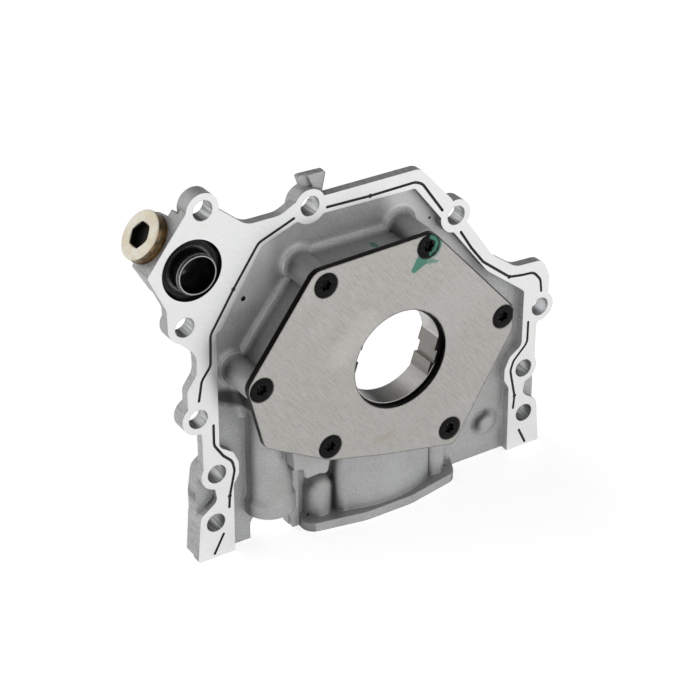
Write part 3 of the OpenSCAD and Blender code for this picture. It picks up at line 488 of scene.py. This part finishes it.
def ground_steel():
    f = Finish("ground_cover_steel")
    t = f.tree
    fine = f.noise(0.26, 3, 0.6, stretch=(1, 1, 26), turn=-38)
    wide = f.noise(1.0, 3, 0.6, stretch=(1, 1, 34), turn=-40)
    cross = f.noise(0.5, 2, 0.5, stretch=(50, 1, 1), turn=-14, shift=(3, 0, 8))
    smear = f.noise(24, 3, 0.55, stretch=(1.5, 1, 1), turn=-20, shift=(9, 0, 4))
    ragged = calc(t, "MULTIPLY", f.noise(2.4, 3, 0.65), 3.0)
    stain = calc(t, "ADD", f.stroke((-10, -29.3), (-3, -28.6), 0.3, 0.6), ragged)
    # A paler patch on the left of the plate is a painted highlight.
    glow = calc(t, "ADD", f.stroke((-24, 9), (-14, 17), 2, 3), ragged)
    front = fade(t, f.ny, -0.9, -0.6, 1, 0)
    paint = plate_paint(f, front)
    rounded = f.bevel(0.8)
    # The plate's edges get a dark painted shadow line, and a second painted shadow line runs along its upper
    # right edge.
    painted_edge = calc(t, "ADD", f.edges(rounded), calc(t, "MULTIPLY", f.noise(0.6, 2, 0.6), 0.5))
    edge_shadow_line = calc(t, "MULTIPLY_ADD", ragged, 0.06, f.stroke((13.94, 43.24), (46.26, 7.29), 0.15, 0.3))
    color = blend(t, fade(t, fine, 0.3, 0.72), tint(161, 159, 155), tint(180, 178, 174))
    color = f.coat(color, (fade(t, wide, 0.3, 0.75, 0, 0.22), tint(166, 163, 159)),
                   (fade(t, cross, 0.6, 0.74, 0, 0.25), tint(186, 184, 180)),
                   (fade(t, smear, 0.42, 0.72, 0, 0.3), tint(182, 181, 178)),
                   (fade(t, stain, 1.6, 3.4, 0.2, 0), tint(150, 134, 98)),
                   (fade(t, glow, 1.5, 6.5, 0.3, 0), tint(198, 196, 190)), (paint, green),
                   (fade(t, painted_edge, 0.25, 0.6, 0, 0.95), tint(34, 31, 28)),
                   (fade(t, edge_shadow_line, 0.05, 0.45, 0.9, 0), tint(30, 28, 26)))
    # The sides of the plate are painted near black as shade.
    color = blend(t, front, tint(26, 24, 22), color)
    height = calc(t, "ADD", fine, calc(t, "MULTIPLY", wide, 0.6))
    return f.set(color=color, metal=calc(t, "SUBTRACT", 1.0, calc(t, "MULTIPLY", paint, 0.85)),
                 rough=fade(t, smear, 0.3, 0.7, 0.42, 0.34), normal=f.bump(height, 0.008, rounded))


plate_finish = ground_steel()
print("plate finish has", len(plate_finish.node_tree.nodes), "nodes")

# %% [markdown]
# ## The black screws and the small steel parts
# Black oxide is a thin dark skin on steel. It stays slightly shiny, and the edges of the recess are
# painted grey, partly as wear and partly as a painted highlight. The rotors are sintered, so their skin has
# a fine grain. Oil has left golden stains along the edges of the flats. The flats and the two sides of the
# bore are painted darker as shade, the front face is painted near black as shade, and the edges and the
# chamfer get a painted highlight.

# %% Make the screw and rotor finishes
def black_oxide():
    f = Finish("black_oxide_steel")
    t = f.tree
    wear, rounded = f.noise(1.4, 3, 0.6), f.bevel(0.14)
    brush = calc(t, "ADD", calc(t, "MULTIPLY_ADD", wear, 1.4, f.ring(marked_screw, 3.1)),
                 fade(t, f.x, 9.6, 11.2, 3, 0))
    brush = calc(t, "MULTIPLY_ADD", f.noise(0.5, 2, 0.7, stretch=(2.5, 1, 1), turn=50), 2.2, brush)
    paint = calc(t, "MULTIPLY", fade(t, brush, 1.9, 2.8, 0.85, 0), fade(t, f.y, -14.3, -14.1, 1, 0))
    color = blend(t, fade(t, wear, 0.5, 0.8), tint(16, 16, 16), tint(36, 36, 35))
    # The recess edges are painted grey: partly wear and partly a painted highlight.
    color = f.coat(color, (calc(t, "MULTIPLY", f.edges(rounded), 0.7), tint(104, 102, 100)), (paint, green))
    return f.set(color=color, metal=calc(t, "SUBTRACT", 0.9, calc(t, "MULTIPLY", paint, 0.8)),
                 rough=fade(t, wear, 0.3, 0.7, 0.34, 0.5), normal=f.bump(f.noise(0.3, 2, 0.6), 0.01, rounded))


painted_highlight_tint = tint(226, 224, 220)


def golden_stain(f):
    t = f.tree
    near_step = f.edges(f.bevel(1.1), 0.86)
    patch = calc(t, "MULTIPLY", fade(t, f.noise(1.6, 3, 0.6), 0.4, 0.56), near_step)
    return total(t, "MULTIPLY", [patch, band(t, f.y, -11.6, 6, 0.3), 0.85])


def rotor_steel():
    f = Finish("sintered_rotor_steel")
    t = f.tree
    grain, lay = f.noise(0.25, 2, 0.6), f.noise(0.2, 2, 0.5, stretch=(1, 26, 1))
    rounded, away, front = f.bevel(0.35), f.from_axis((0, 0)), fade(t, f.ny, -0.9, -0.6, 1, 0)
    across = calc(t, "ADD", f.x, calc(t, "MULTIPLY", f.z, -0.4))
    shade = calc(t, "MULTIPLY", fade(t, across, 13.5, 18, 0, 0.55), fade(t, f.z, -10, -9, 1, 0))
    chamfer = total(t, "MULTIPLY", [band(t, away, 17.2, 17.65, 0.1), fade(t, f.y, -12.2, -11.8, 1, 0),
                                    fade(t, f.z, -9, -7, 1, 0)])
    color = blend(t, fade(t, lay, 0.3, 0.7), tint(184, 182, 179), tint(202, 201, 198))
    # Painted shade: the flats and the two sides of the bore are darker, and the front face is near black.
    # Painted highlight: the edges and the chamfer.
    color = f.coat(color, (fade(t, grain, 0.6, 0.8, 0, 0.2), tint(150, 148, 144)),
                   (fade(t, away, 16.9, 17.2, 0.85, 0), tint(116, 114, 110)),
                   (golden_stain(f), tint(126, 96, 52)), (fade(t, across, -3, 9, 0.95, 0), tint(34, 34, 34)),
                   (shade, tint(112, 110, 106)), (calc(t, "MULTIPLY", f.edges(rounded), 0.6), painted_highlight_tint),
                   (front, tint(15, 14, 12)), (chamfer, painted_highlight_tint))
    shine = calc(t, "SUBTRACT", 0.85, calc(t, "MULTIPLY", front, 0.5))
    return f.set(color=color, metal=shine, rough=fade(t, grain, 0.3, 0.7, 0.3, 0.36),
                 normal=f.bump(grain, 0.004, rounded))


screw_finish = black_oxide()
rotor_finish = rotor_steel()
print("screw and rotor finishes made")

# %% [markdown]
# The plug is zinc plated and passivated. Its face is cream with faint yellow and pink clouds, and its rim
# is browned. The plug stands at a slant, so its finish measures along its own axis and away from it.

# %% Make the plug, washer, seal and steel finishes
plug_seat = Vector((-79.8, 10.0, 57.4))
plug_out = Vector((-0.787, 0.0, 0.617)).normalized()
plug_side = Vector((plug_out.z, 0.0, -plug_out.x))


def along_plug(f):
    t = f.tree
    offset = wire(t, "ShaderNodeVectorMath", {0: f.place, 1: plug_seat}, operation="SUBTRACT").outputs[0]
    along, aside = [wire(t, "ShaderNodeVectorMath", {0: offset, 1: way}, operation="DOT_PRODUCT")
                    for way in (plug_out, plug_side)]
    return along.outputs["Value"], f.length(aside.outputs["Value"], calc(t, "SUBTRACT", f.y, plug_seat.y))


def yellow_zinc():
    f = Finish("yellow_zinc_plug")
    t = f.tree
    along, away = along_plug(f)
    cloud, blush, rounded = f.noise(3.5, 3, 0.6), f.noise(5, 2, 0.5, shift=(7, 2, 5)), f.bevel(0.4)
    rim = blend(t, fade(t, cloud, 0.3, 0.7), tint(62, 47, 30), tint(140, 116, 84))
    side = calc(t, "MULTIPLY", fade(t, away, 8.35, 8.5), fade(t, along, 3.5, 3.85, 1, 0))
    socket = calc(t, "MULTIPLY", fade(t, away, 4.75, 4.95, 1, 0), fade(t, along, 3.75, 4.0, 1, 0))
    # The socket is painted near black as shade, and the edges get a painted highlight.
    color = blend(t, fade(t, cloud, 0.35, 0.65), tint(248, 243, 228), tint(240, 229, 200))
    color = f.coat(color, (fade(t, blush, 0.5, 0.7, 0, 0.5), tint(238, 220, 208)),
                   (calc(t, "MULTIPLY", f.edges(rounded), 0.5), tint(250, 246, 236)), (side, rim),
                   (socket, tint(14, 11, 8)))
    metal = calc(t, "MULTIPLY_ADD", side, 0.5, calc(t, "MULTIPLY_ADD", socket, -0.1, 0.15))
    return f.set(color=color, metal=metal, rough=fade(t, cloud, 0.3, 0.7, 0.32, 0.42),
                 normal=f.bump(f.noise(0.5, 2, 0.6), 0.012, rounded))


def bronze_washer():
    f = Finish("bronze_washer")
    t, rounded = f.tree, f.bevel(0.3)
    color = blend(t, fade(t, f.noise(3, 3, 0.6), 0.3, 0.7), tint(70, 50, 32), tint(128, 98, 62))
    # The edges are painted paler, a painted highlight.
    color = blend(t, calc(t, "MULTIPLY", f.edges(rounded), 0.6), color, tint(186, 158, 112))
    return f.set(color=color, metal=1.0, rough=0.4, normal=f.bump(f.noise(0.3, 2, 0.6), 0.01, rounded))


def black_rubber():
    f = Finish("black_seal_rubber")
    t, rounded = f.tree, f.bevel(0.4)
    color = blend(t, fade(t, f.noise(0.8, 3, 0.6), 0.3, 0.7), tint(9, 9, 9), tint(18, 18, 18))
    # The edges are painted lighter, a painted highlight.
    color = blend(t, calc(t, "MULTIPLY", f.edges(rounded), 0.3), color, tint(58, 58, 58))
    return f.set(color=color, rough=0.45, specular=0.3, normal=f.bump(f.noise(0.4, 2, 0.6), 0.02, rounded))


def sleeve_steel():
    f = Finish("drawn_sleeve_steel")
    t = f.tree
    away, lay = f.from_axis(port_centre), f.noise(0.3, 2, 0.5, stretch=(1, 20, 1))
    # Two thin bright rings at the end are a painted highlight, and the inside is painted near black as shade.
    edge_rings = total(t, "MAXIMUM", [fade(t, f.y, -3.74, -3.68, 1, 0), band(t, f.y, -2.95, -2.85, 0.08)])
    bright = calc(t, "MULTIPLY", edge_rings, fade(t, away, 6.2, 6.3))
    inside = calc(t, "MULTIPLY", fade(t, away, 6.34, 6.42, 1, 0), fade(t, f.y, -3.55, -3.4))
    color = blend(t, fade(t, lay, 0.3, 0.7), tint(60, 60, 61), tint(104, 104, 104))
    color = f.coat(color, (bright, tint(176, 176, 174)), (inside, tint(6, 6, 6)))
    return f.set(color=color, metal=fade(t, away, 6.34, 6.42, 0.2, 1.0), rough=0.3, normal=f.bump(lay, 0.006))


def bright_steel(name, dark, light, rough):
    f = Finish(name)
    lay = f.noise(0.2, 2, 0.5, stretch=(6, 6, 1))
    return f.set(color=blend(f.tree, fade(f.tree, lay, 0.3, 0.7), dark, light), metal=1.0, rough=rough,
                 normal=f.bump(lay, 0.006, f.bevel(0.2)))


plug_finish = yellow_zinc()
washer_finish = bronze_washer()
seal_finish = black_rubber()
sleeve_finish = sleeve_steel()
valve_finish = bright_steel("ground_valve_steel", tint(165, 166, 168), tint(200, 201, 203), 0.22)
spring_finish = bright_steel("spring_wire_steel", tint(110, 112, 118), tint(150, 152, 158), 0.3)

# %% Put the finishes on the CAD nodes
finishes = {"pump_body": cast_finish, "cover_plate": plate_finish, "inner_rotor": rotor_finish,
            "outer_rotor": rotor_finish, "gallery_plug": plug_finish, "plug_washer": washer_finish,
            "outlet_sleeve": sleeve_finish, "outlet_seal": seal_finish, "relief_piston": valve_finish,
            "relief_spring": spring_finish, "spring_seat": valve_finish, "retaining_ring": spring_finish}
finishes.update({f"cover_screw_{i}": screw_finish for i in range(1, 7)})
for name, finish in finishes.items():
    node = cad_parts[name]
    node.data.materials.clear()
    node.data.materials.append(finish)
print("finishes on", len(finishes), "CAD nodes")

# %% [markdown]
# ## Turned pieces
# A screw, a plug and a sleeve are all made on a lathe, so one helper makes them: it stacks rings along an
# axis and skins them. A ring's radius may change with its angle, which gives the lobes of a recess, the
# flats of a socket and the climb of a thread.

# %% Stack rings into a closed mesh
def turned(name, rings, points, centre, axis, side, hollow=False):
    across = axis.cross(side)
    mesh, work = bpy.data.meshes.new(name), bmesh.new()
    rows = []
    for height, radius in rings:
        row = []
        for i in range(1 if radius == 0 else points):
            angle = 2 * math.pi * i / points
            reach = radius(angle) if callable(radius) else radius
            spot = centre + axis * height + (side * math.cos(angle) + across * math.sin(angle)) * reach
            row.append(work.verts.new(spot / 1000))
        rows.append(row)
    for low, high in zip(rows, rows[1:] + (rows[:1] if hollow else [])):
        for i in range(points):
            j = (i + 1) % points
            corners = [low[i % len(low)], low[j % len(low)], high[j % len(high)], high[i % len(high)]]
            work.faces.new(list(dict.fromkeys(corners)))
    bmesh.ops.recalc_face_normals(work, faces=work.faces)
    for face in work.faces:
        face.smooth = True
    work.to_mesh(mesh)
    work.free()
    mesh.set_sharp_from_angle(angle=math.radians(32))
    piece = bpy.data.objects.new(name, mesh)
    bpy.context.scene.collection.objects.link(piece)
    return piece


def thread(start, end, radius, pitch, depth, steps=4):
    rings, count = [], round(abs(end - start) / pitch * steps)
    for i in range(count + 1):
        height = start + (end - start) * i / count
        fading = min(1, i / steps, (count - i) / steps)
        def reach(angle, height=height, fading=fading):
            wave = (height / pitch + angle / (2 * math.pi)) % 1
            return radius - depth * fading * (1 - abs(2 * wave - 1))
        rings.append((height, reach))
    return rings


# %% [markdown]
# ## Six cover screws
# Each is a countersunk screw with a six-lobed recess and a rolled thread. It is turned once, and a Geometry
# Nodes tree sets a copy in each hole. No two screws stop at the same angle, so the tree turns each by a
# random amount.

# %% Turn one countersunk screw
def lobed(low, high):
    return lambda angle: low + (high - low) * (0.5 + 0.5 * math.cos(6 * angle)) ** 0.8


recess_rings = [(2.5, 0), (2.2, 0.9), (1.8, lobed(1.45, 2.0)), (0.35, lobed(1.5, 2.12)),
                (0.1, lobed(1.55, 2.18)), (0.0, lobed(1.75, 2.32))]
screw_rings = recess_rings + [(0.0, 2.9), (0.0, 4.12), (0.05, 4.3), (0.16, 4.34), (1.0, 3.5), (1.95, 2.5)]
screw_rings += thread(2.2, 13.2, 2.46, 0.8, 0.42) + [(14.0, 1.9), (14.0, 0)]
along_y, along_x = Vector((0, 1, 0)), Vector((1, 0, 0))
screw_pattern = turned("one_screw", screw_rings, 72, Vector((0, 0, 0)), along_y, along_x)
print("one screw has", len(screw_pattern.data.polygons), "faces")

# %% Helpers for Geometry Nodes
def node_tree(name, sizes):
    tree = bpy.data.node_groups.new(name, "GeometryNodeTree")
    tree.interface.new_socket("Geometry", in_out="INPUT", socket_type="NodeSocketGeometry")
    tree.interface.new_socket("Geometry", in_out="OUTPUT", socket_type="NodeSocketGeometry")
    for label, kind in sizes.items():
        tree.interface.new_socket(label, in_out="INPUT", socket_type="NodeSocket" + kind)
    return tree, tree.nodes.new("NodeGroupInput").outputs


def finish_tree(tree, geometry, material):
    real = wire(tree, "GeometryNodeRealizeInstances", {0: geometry})
    painted = wire(tree, "GeometryNodeSetMaterial", {"Geometry": real.outputs[0], "Material": material})
    output = tree.nodes.new("NodeGroupOutput")
    tree.links.new(painted.outputs[0], output.inputs[0])


def grow(name, start, tree, values, body):
    piece = bpy.data.objects.new(name + "_start", start)
    bpy.context.scene.collection.objects.link(piece)
    modifier = piece.modifiers.new("grow", "NODES")
    modifier.node_group = tree
    for item in tree.interface.items_tree:
        if item.item_type == "SOCKET" and item.in_out == "INPUT" and item.name in values:
            modifier[item.identifier] = values[item.name]
    grown = bpy.context.evaluated_depsgraph_get()
    mesh = bpy.data.meshes.new_from_object(piece.evaluated_get(grown))
    piece.modifiers.remove(modifier)
    bpy.data.objects.remove(piece)
    result = bpy.data.objects.new(name, mesh)
    bpy.context.scene.collection.objects.link(result)
    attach(result, body)
    print(name, "has", len(mesh.polygons), "faces")
    return result


def points_mesh(name, spots):
    mesh = bpy.data.meshes.new(name)
    mesh.from_pydata([Vector(spot) / 1000 for spot in spots], [], [])
    return mesh


# %% Set a screw in each hole
def screw_tree():
    tree, given = node_tree("screws_in_holes", {"Screw": "Object", "Seed": "Int", "Material": "Material"})
    screw = wire(tree, "GeometryNodeObjectInfo", {"Object": given["Screw"]})
    spin = wire(tree, "FunctionNodeRandomValue", {"Seed": given["Seed"]}, data_type="FLOAT_VECTOR")
    spin.inputs[0].default_value = (0, 0, 0)
    spin.inputs[1].default_value = (0, math.radians(60), 0)
    spots = {"Points": given["Geometry"], "Rotation": spin.outputs[0], "Instance": screw.outputs["Geometry"]}
    placed = wire(tree, "GeometryNodeInstanceOnPoints", spots)
    finish_tree(tree, placed.outputs[0], given["Material"])
    return tree


screw_spots = []
for i in range(1, 7):
    low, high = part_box(f"cover_screw_{i}")
    screw_spots.append([500 * (low[0] + high[0]), 1000 * low[1], 500 * (low[2] + high[2])])
cover_screws = grow("cover_screws", points_mesh("screw_spots", screw_spots), screw_tree(),
                    {"Screw": screw_pattern, "Seed": 4, "Material": screw_finish}, "pump")
bpy.data.objects.remove(screw_pattern)
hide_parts(*[f"cover_screw_{i}" for i in range(1, 7)])

# %% [markdown]
# ## The gallery plug
# The plug closes the drilled gallery on the slanted corner. The rim of its head is rounded, its socket is a
# hexagon with a round chamfer at the mouth, and its thread is fine.

# %% Turn the plug
def hexagon(half_width):
    return lambda angle: half_width / math.cos((angle + math.pi / 6) % (math.pi / 3) - math.pi / 6)


socket_rings = [(0.5, 0), (0.8, 3.2), (0.9, hexagon(3.95)), (3.75, hexagon(3.98)), (4.03, 4.75), (4.05, 4.9)]
head_rings = [(4.05, 6), (4.05, 7.95), (3.98, 8.3), (3.8, 8.52), (3.5, 8.6), (1.8, 8.6), (1.55, 8.55),
              (1.45, 8.4), (1.45, 5.0)]
plug_rings = socket_rings + head_rings
plug_rings += thread(1.2, -7.4, 4.95, 1.0, 0.5) + [(-8.0, 4.2), (-8.0, 0)]
plug_piece = turned("gallery_plug_turned", plug_rings, 96, plug_seat, plug_out, plug_side)
plug_piece.data.materials.append(plug_finish)
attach(plug_piece, "pump")
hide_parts("gallery_plug")
print("plug has", len(plug_piece.data.polygons), "faces")

# %% [markdown]
# ## The outlet sleeve
# The drawn steel sleeve centres the pump on the block's oil gallery. Its end is chamfered outside and
# broken inside, and its finish paints two thin bright rings there as a highlight; the inside of the sleeve is
# painted near black as shade.

# %% Turn the sleeve
sleeve_rings = [(4.3, 6.25), (-3.45, 6.25), (-3.65, 6.32), (-3.78, 6.45), (-3.8, 6.6), (-3.74, 6.72),
                (-3.05, 7.15), (-2.9, 7.22), (-2.7, 7.25), (1.9, 7.25), (2.0, 7.3), (2.0, 8.1), (2.1, 8.2),
                (4.3, 8.2)]
sleeve_centre = Vector((port_centre[0], 0, port_centre[1]))
sleeve_piece = turned("outlet_sleeve_turned", sleeve_rings, 96, sleeve_centre, along_y, along_x, hollow=True)
sleeve_piece.data.materials.append(sleeve_finish)
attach(sleeve_piece, "pump")
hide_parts("outlet_sleeve")
print("sleeve has", len(sleeve_piece.data.polygons), "faces")

# %% [markdown]
# ## The relief spring
# The spring is one wire wound with nearly level end turns. A spiral follows its rule, and the tree lifts
# each point of it: slowly over the first and last turn, evenly between them.

# %% Wind the spring
def spring_tree():
    sizes = {"Radius": "Float", "Wire": "Float", "Turns": "Float", "Rise": "Float", "Place": "Vector",
             "Material": "Material"}
    tree, given = node_tree("wound_spring", sizes)
    level = {"Resolution": 32, "Rotations": given["Turns"], "Start Radius": given["Radius"],
             "End Radius": given["Radius"], "Height": 0.0}
    spiral = wire(tree, "GeometryNodeCurveSpiral", level)
    share = wire(tree, "GeometryNodeSplineParameter").outputs["Factor"]
    turn = calc(tree, "DIVIDE", 1.0, given["Turns"])
    last = calc(tree, "SUBTRACT", 1.0, turn)
    ends = calc(tree, "ADD", calc(tree, "MINIMUM", share, turn),
                calc(tree, "MAXIMUM", calc(tree, "SUBTRACT", share, last), 0.0))
    middle = calc(tree, "SUBTRACT", calc(tree, "MINIMUM", calc(tree, "MAXIMUM", share, turn), last), turn)
    slope = calc(tree, "DIVIDE", calc(tree, "SUBTRACT", 1.0, calc(tree, "MULTIPLY", turn, 0.5)),
                 calc(tree, "SUBTRACT", 1.0, calc(tree, "MULTIPLY", turn, 2.0)))
    climb = calc(tree, "ADD", calc(tree, "MULTIPLY", ends, 0.25), calc(tree, "MULTIPLY", middle, slope))
    lift = wire(tree, "ShaderNodeCombineXYZ", {2: calc(tree, "MULTIPLY", climb, given["Rise"])})
    offset = wire(tree, "ShaderNodeVectorMath", {0: lift.outputs[0], 1: given["Place"]}, operation="ADD")
    path = wire(tree, "GeometryNodeSetPosition", {"Geometry": spiral.outputs[0], "Offset": offset.outputs[0]})
    section = wire(tree, "GeometryNodeCurvePrimitiveCircle", {"Resolution": 14, "Radius": given["Wire"]})
    sweep = {"Curve": path.outputs[0], "Profile Curve": section.outputs[0], "Fill Caps": True}
    wound = wire(tree, "GeometryNodeCurveToMesh", sweep)
    smooth = wire(tree, "GeometryNodeSetShadeSmooth", {"Geometry": wound.outputs[0]})
    finish_tree(tree, smooth.outputs[0], given["Material"])
    return tree


coil_radius, wire_radius = 0.00335, 0.00065
valve_x, valve_y = -0.043, 0.002
spring_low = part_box("relief_spring")[0]
spring_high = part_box("relief_spring")[1]
spring_sizes = {"Radius": coil_radius, "Wire": wire_radius, "Turns": 8.0,
                "Rise": spring_high[2] - spring_low[2] - 2 * wire_radius,
                "Place": (valve_x, valve_y, spring_low[2] + wire_radius), "Material": spring_finish}
spring_start = points_mesh("spring_start", [])
spring_piece = grow("relief_spring_wound", spring_start, spring_tree(), spring_sizes, "pump")
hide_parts("relief_spring")
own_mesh(spring_piece)

# %% [markdown]
# ## Tapped holes
# The two holes of the suction flange are tapped from below. A thread is one sharp ridge that climbs the
# wall of its hole, so a spiral with a three-sided section makes it, and a copy stands in each hole.

# %% Cut the threads
def tapped_tree():
    sizes = {"Radius": "Float", "Pitch": "Float", "Turns": "Float", "Material": "Material"}
    tree, given = node_tree("tapped_holes", sizes)
    climb = {"Resolution": 28, "Rotations": given["Turns"], "Start Radius": given["Radius"],
             "End Radius": given["Radius"], "Height": calc(tree, "MULTIPLY", given["Pitch"], given["Turns"])}
    spiral = wire(tree, "GeometryNodeCurveSpiral", climb)
    ridge_size = {"Resolution": 3, "Radius": calc(tree, "MULTIPLY", given["Pitch"], 0.42)}
    section = wire(tree, "GeometryNodeCurvePrimitiveCircle", ridge_size)
    sweep = {"Curve": spiral.outputs[0], "Profile Curve": section.outputs[0], "Fill Caps": True}
    ridge = wire(tree, "GeometryNodeCurveToMesh", sweep)
    spots = {"Points": given["Geometry"], "Instance": ridge.outputs[0]}
    placed = wire(tree, "GeometryNodeInstanceOnPoints", spots)
    finish_tree(tree, placed.outputs[0], given["Material"])
    return tree


thread_spots = points_mesh("thread_spots", [(-24.5, 2.6, -64.7), (24.5, 2.6, -64.7)])
thread_sizes = {"Radius": 0.0024, "Pitch": 0.0008, "Turns": 15.0, "Material": cast_finish}
tapped = grow("suction_flange_threads", thread_spots, tapped_tree(), thread_sizes, "pump")

# %% [markdown]
# ## Studio
# The pump stands on a pale table in a soft tent. A bright card behind it and to its left is mirrored by the
# outer sides and the bores, and the recess can't see it, so it stays darker, as in the photograph. A wide
# key lamp and a wide fill light the front evenly. Wide lamps keep the milled face from clipping to white
# when it is seen from straight in front. The world is plain white to the camera alone.

# %% Build the floor, the tent and the lamps
tent_power = 0.15
floor_drop, floor_reach, floor_glow = 0.0002, 3, 0.62
white_paint = [0.9, 0.9, 0.9, 1]


def studio_world():
    world = bpy.data.worlds.new("white_tent")
    bpy.context.scene.world = world
    world.use_nodes = True
    t = world.node_tree
    t.nodes.clear()
    path = wire(t, "ShaderNodeLightPath")
    direction = wire(t, "ShaderNodeTexCoord").outputs["Generated"]

    def towards(way, low, high):
        facing = wire(t, "ShaderNodeVectorMath", {0: direction, 1: way}, operation="DOT_PRODUCT")
        return fade(t, facing.outputs["Value"], low, high)

    def white(strength):
        return wire(t, "ShaderNodeBackground", {"Color": [1, 1, 1, 1], "Strength": strength})

    def tent(card_power, front_power):
        front = calc(t, "MULTIPLY_ADD", lit_side, front_power, tent_power)
        return white(calc(t, "MULTIPLY_ADD", card, card_power, front))

    lit_side = towards((0.25, -0.93, -0.25), -0.45, 0.75)
    card = towards((-0.69, 0.72, 0.05), 0.3, 0.85)
    light, gleam, seen = tent(1.15, 0.42), tent(1.0, 0.6), white(1.0)
    glossy = calc(t, "MAXIMUM", path.outputs["Is Glossy Ray"], path.outputs["Is Transmission Ray"])
    lit = wire(t, "ShaderNodeMixShader", {0: glossy, 1: light.outputs[0], 2: gleam.outputs[0]})
    by_camera = {0: path.outputs["Is Camera Ray"], 1: lit.outputs[0], 2: seen.outputs[0]}
    shown = wire(t, "ShaderNodeMixShader", by_camera)
    wire(t, "ShaderNodeOutputWorld", {"Surface": shown.outputs[0]})


def studio_floor():
    mesh = bpy.data.meshes.new("floor")
    low, far = cad_box[0][2] - floor_drop, floor_reach
    corners = [(-far, -far, low), (far, -far, low), (far, far, low), (-far, far, low)]
    mesh.from_pydata(corners, [], [(0, 1, 2, 3)])
    floor = bpy.data.objects.new("floor", mesh)
    bpy.context.scene.collection.objects.link(floor)
    f = Finish("pale_floor")
    f.set(color=white_paint, rough=0.8)
    t = f.tree
    path = wire(t, "ShaderNodeLightPath")
    glow = wire(t, "ShaderNodeEmission", {"Color": [1, 1, 1, 1], "Strength": floor_glow})
    both = wire(t, "ShaderNodeAddShader", {0: f.shader.outputs[0], 1: glow.outputs[0]})
    rays = ("Is Camera Ray", "Is Glossy Ray", "Is Transmission Ray")
    seen = total(t, "MAXIMUM", [path.outputs[ray] for ray in rays])
    pick = wire(t, "ShaderNodeMixShader", {0: seen, 1: f.shader.outputs[0], 2: both.outputs[0]})
    t.links.new(pick.outputs[0], t.nodes["Material Output"].inputs["Surface"])
    mesh.materials.append(f.material)


def soft_box(name, place, size, power):
    light = bpy.data.lights.new(name, "AREA")
    light.shape = "RECTANGLE"
    light.size, light.size_y = size
    light.energy = power
    lamp = bpy.data.objects.new(name, light)
    bpy.context.scene.collection.objects.link(lamp)
    turn = (-Vector(place)).to_track_quat("-Z", "Y")
    lamp.matrix_world = Matrix.Translation(place) @ turn.to_matrix().to_4x4()


studio_world()
studio_floor()
soft_box("key", (0.42, -0.98, 0.16), (1.1, 1.1), 2.7)
soft_box("fill", (-0.35, -0.95, 0.08), (1.2, 0.8), 1.1)
print("lamps and tent stand")
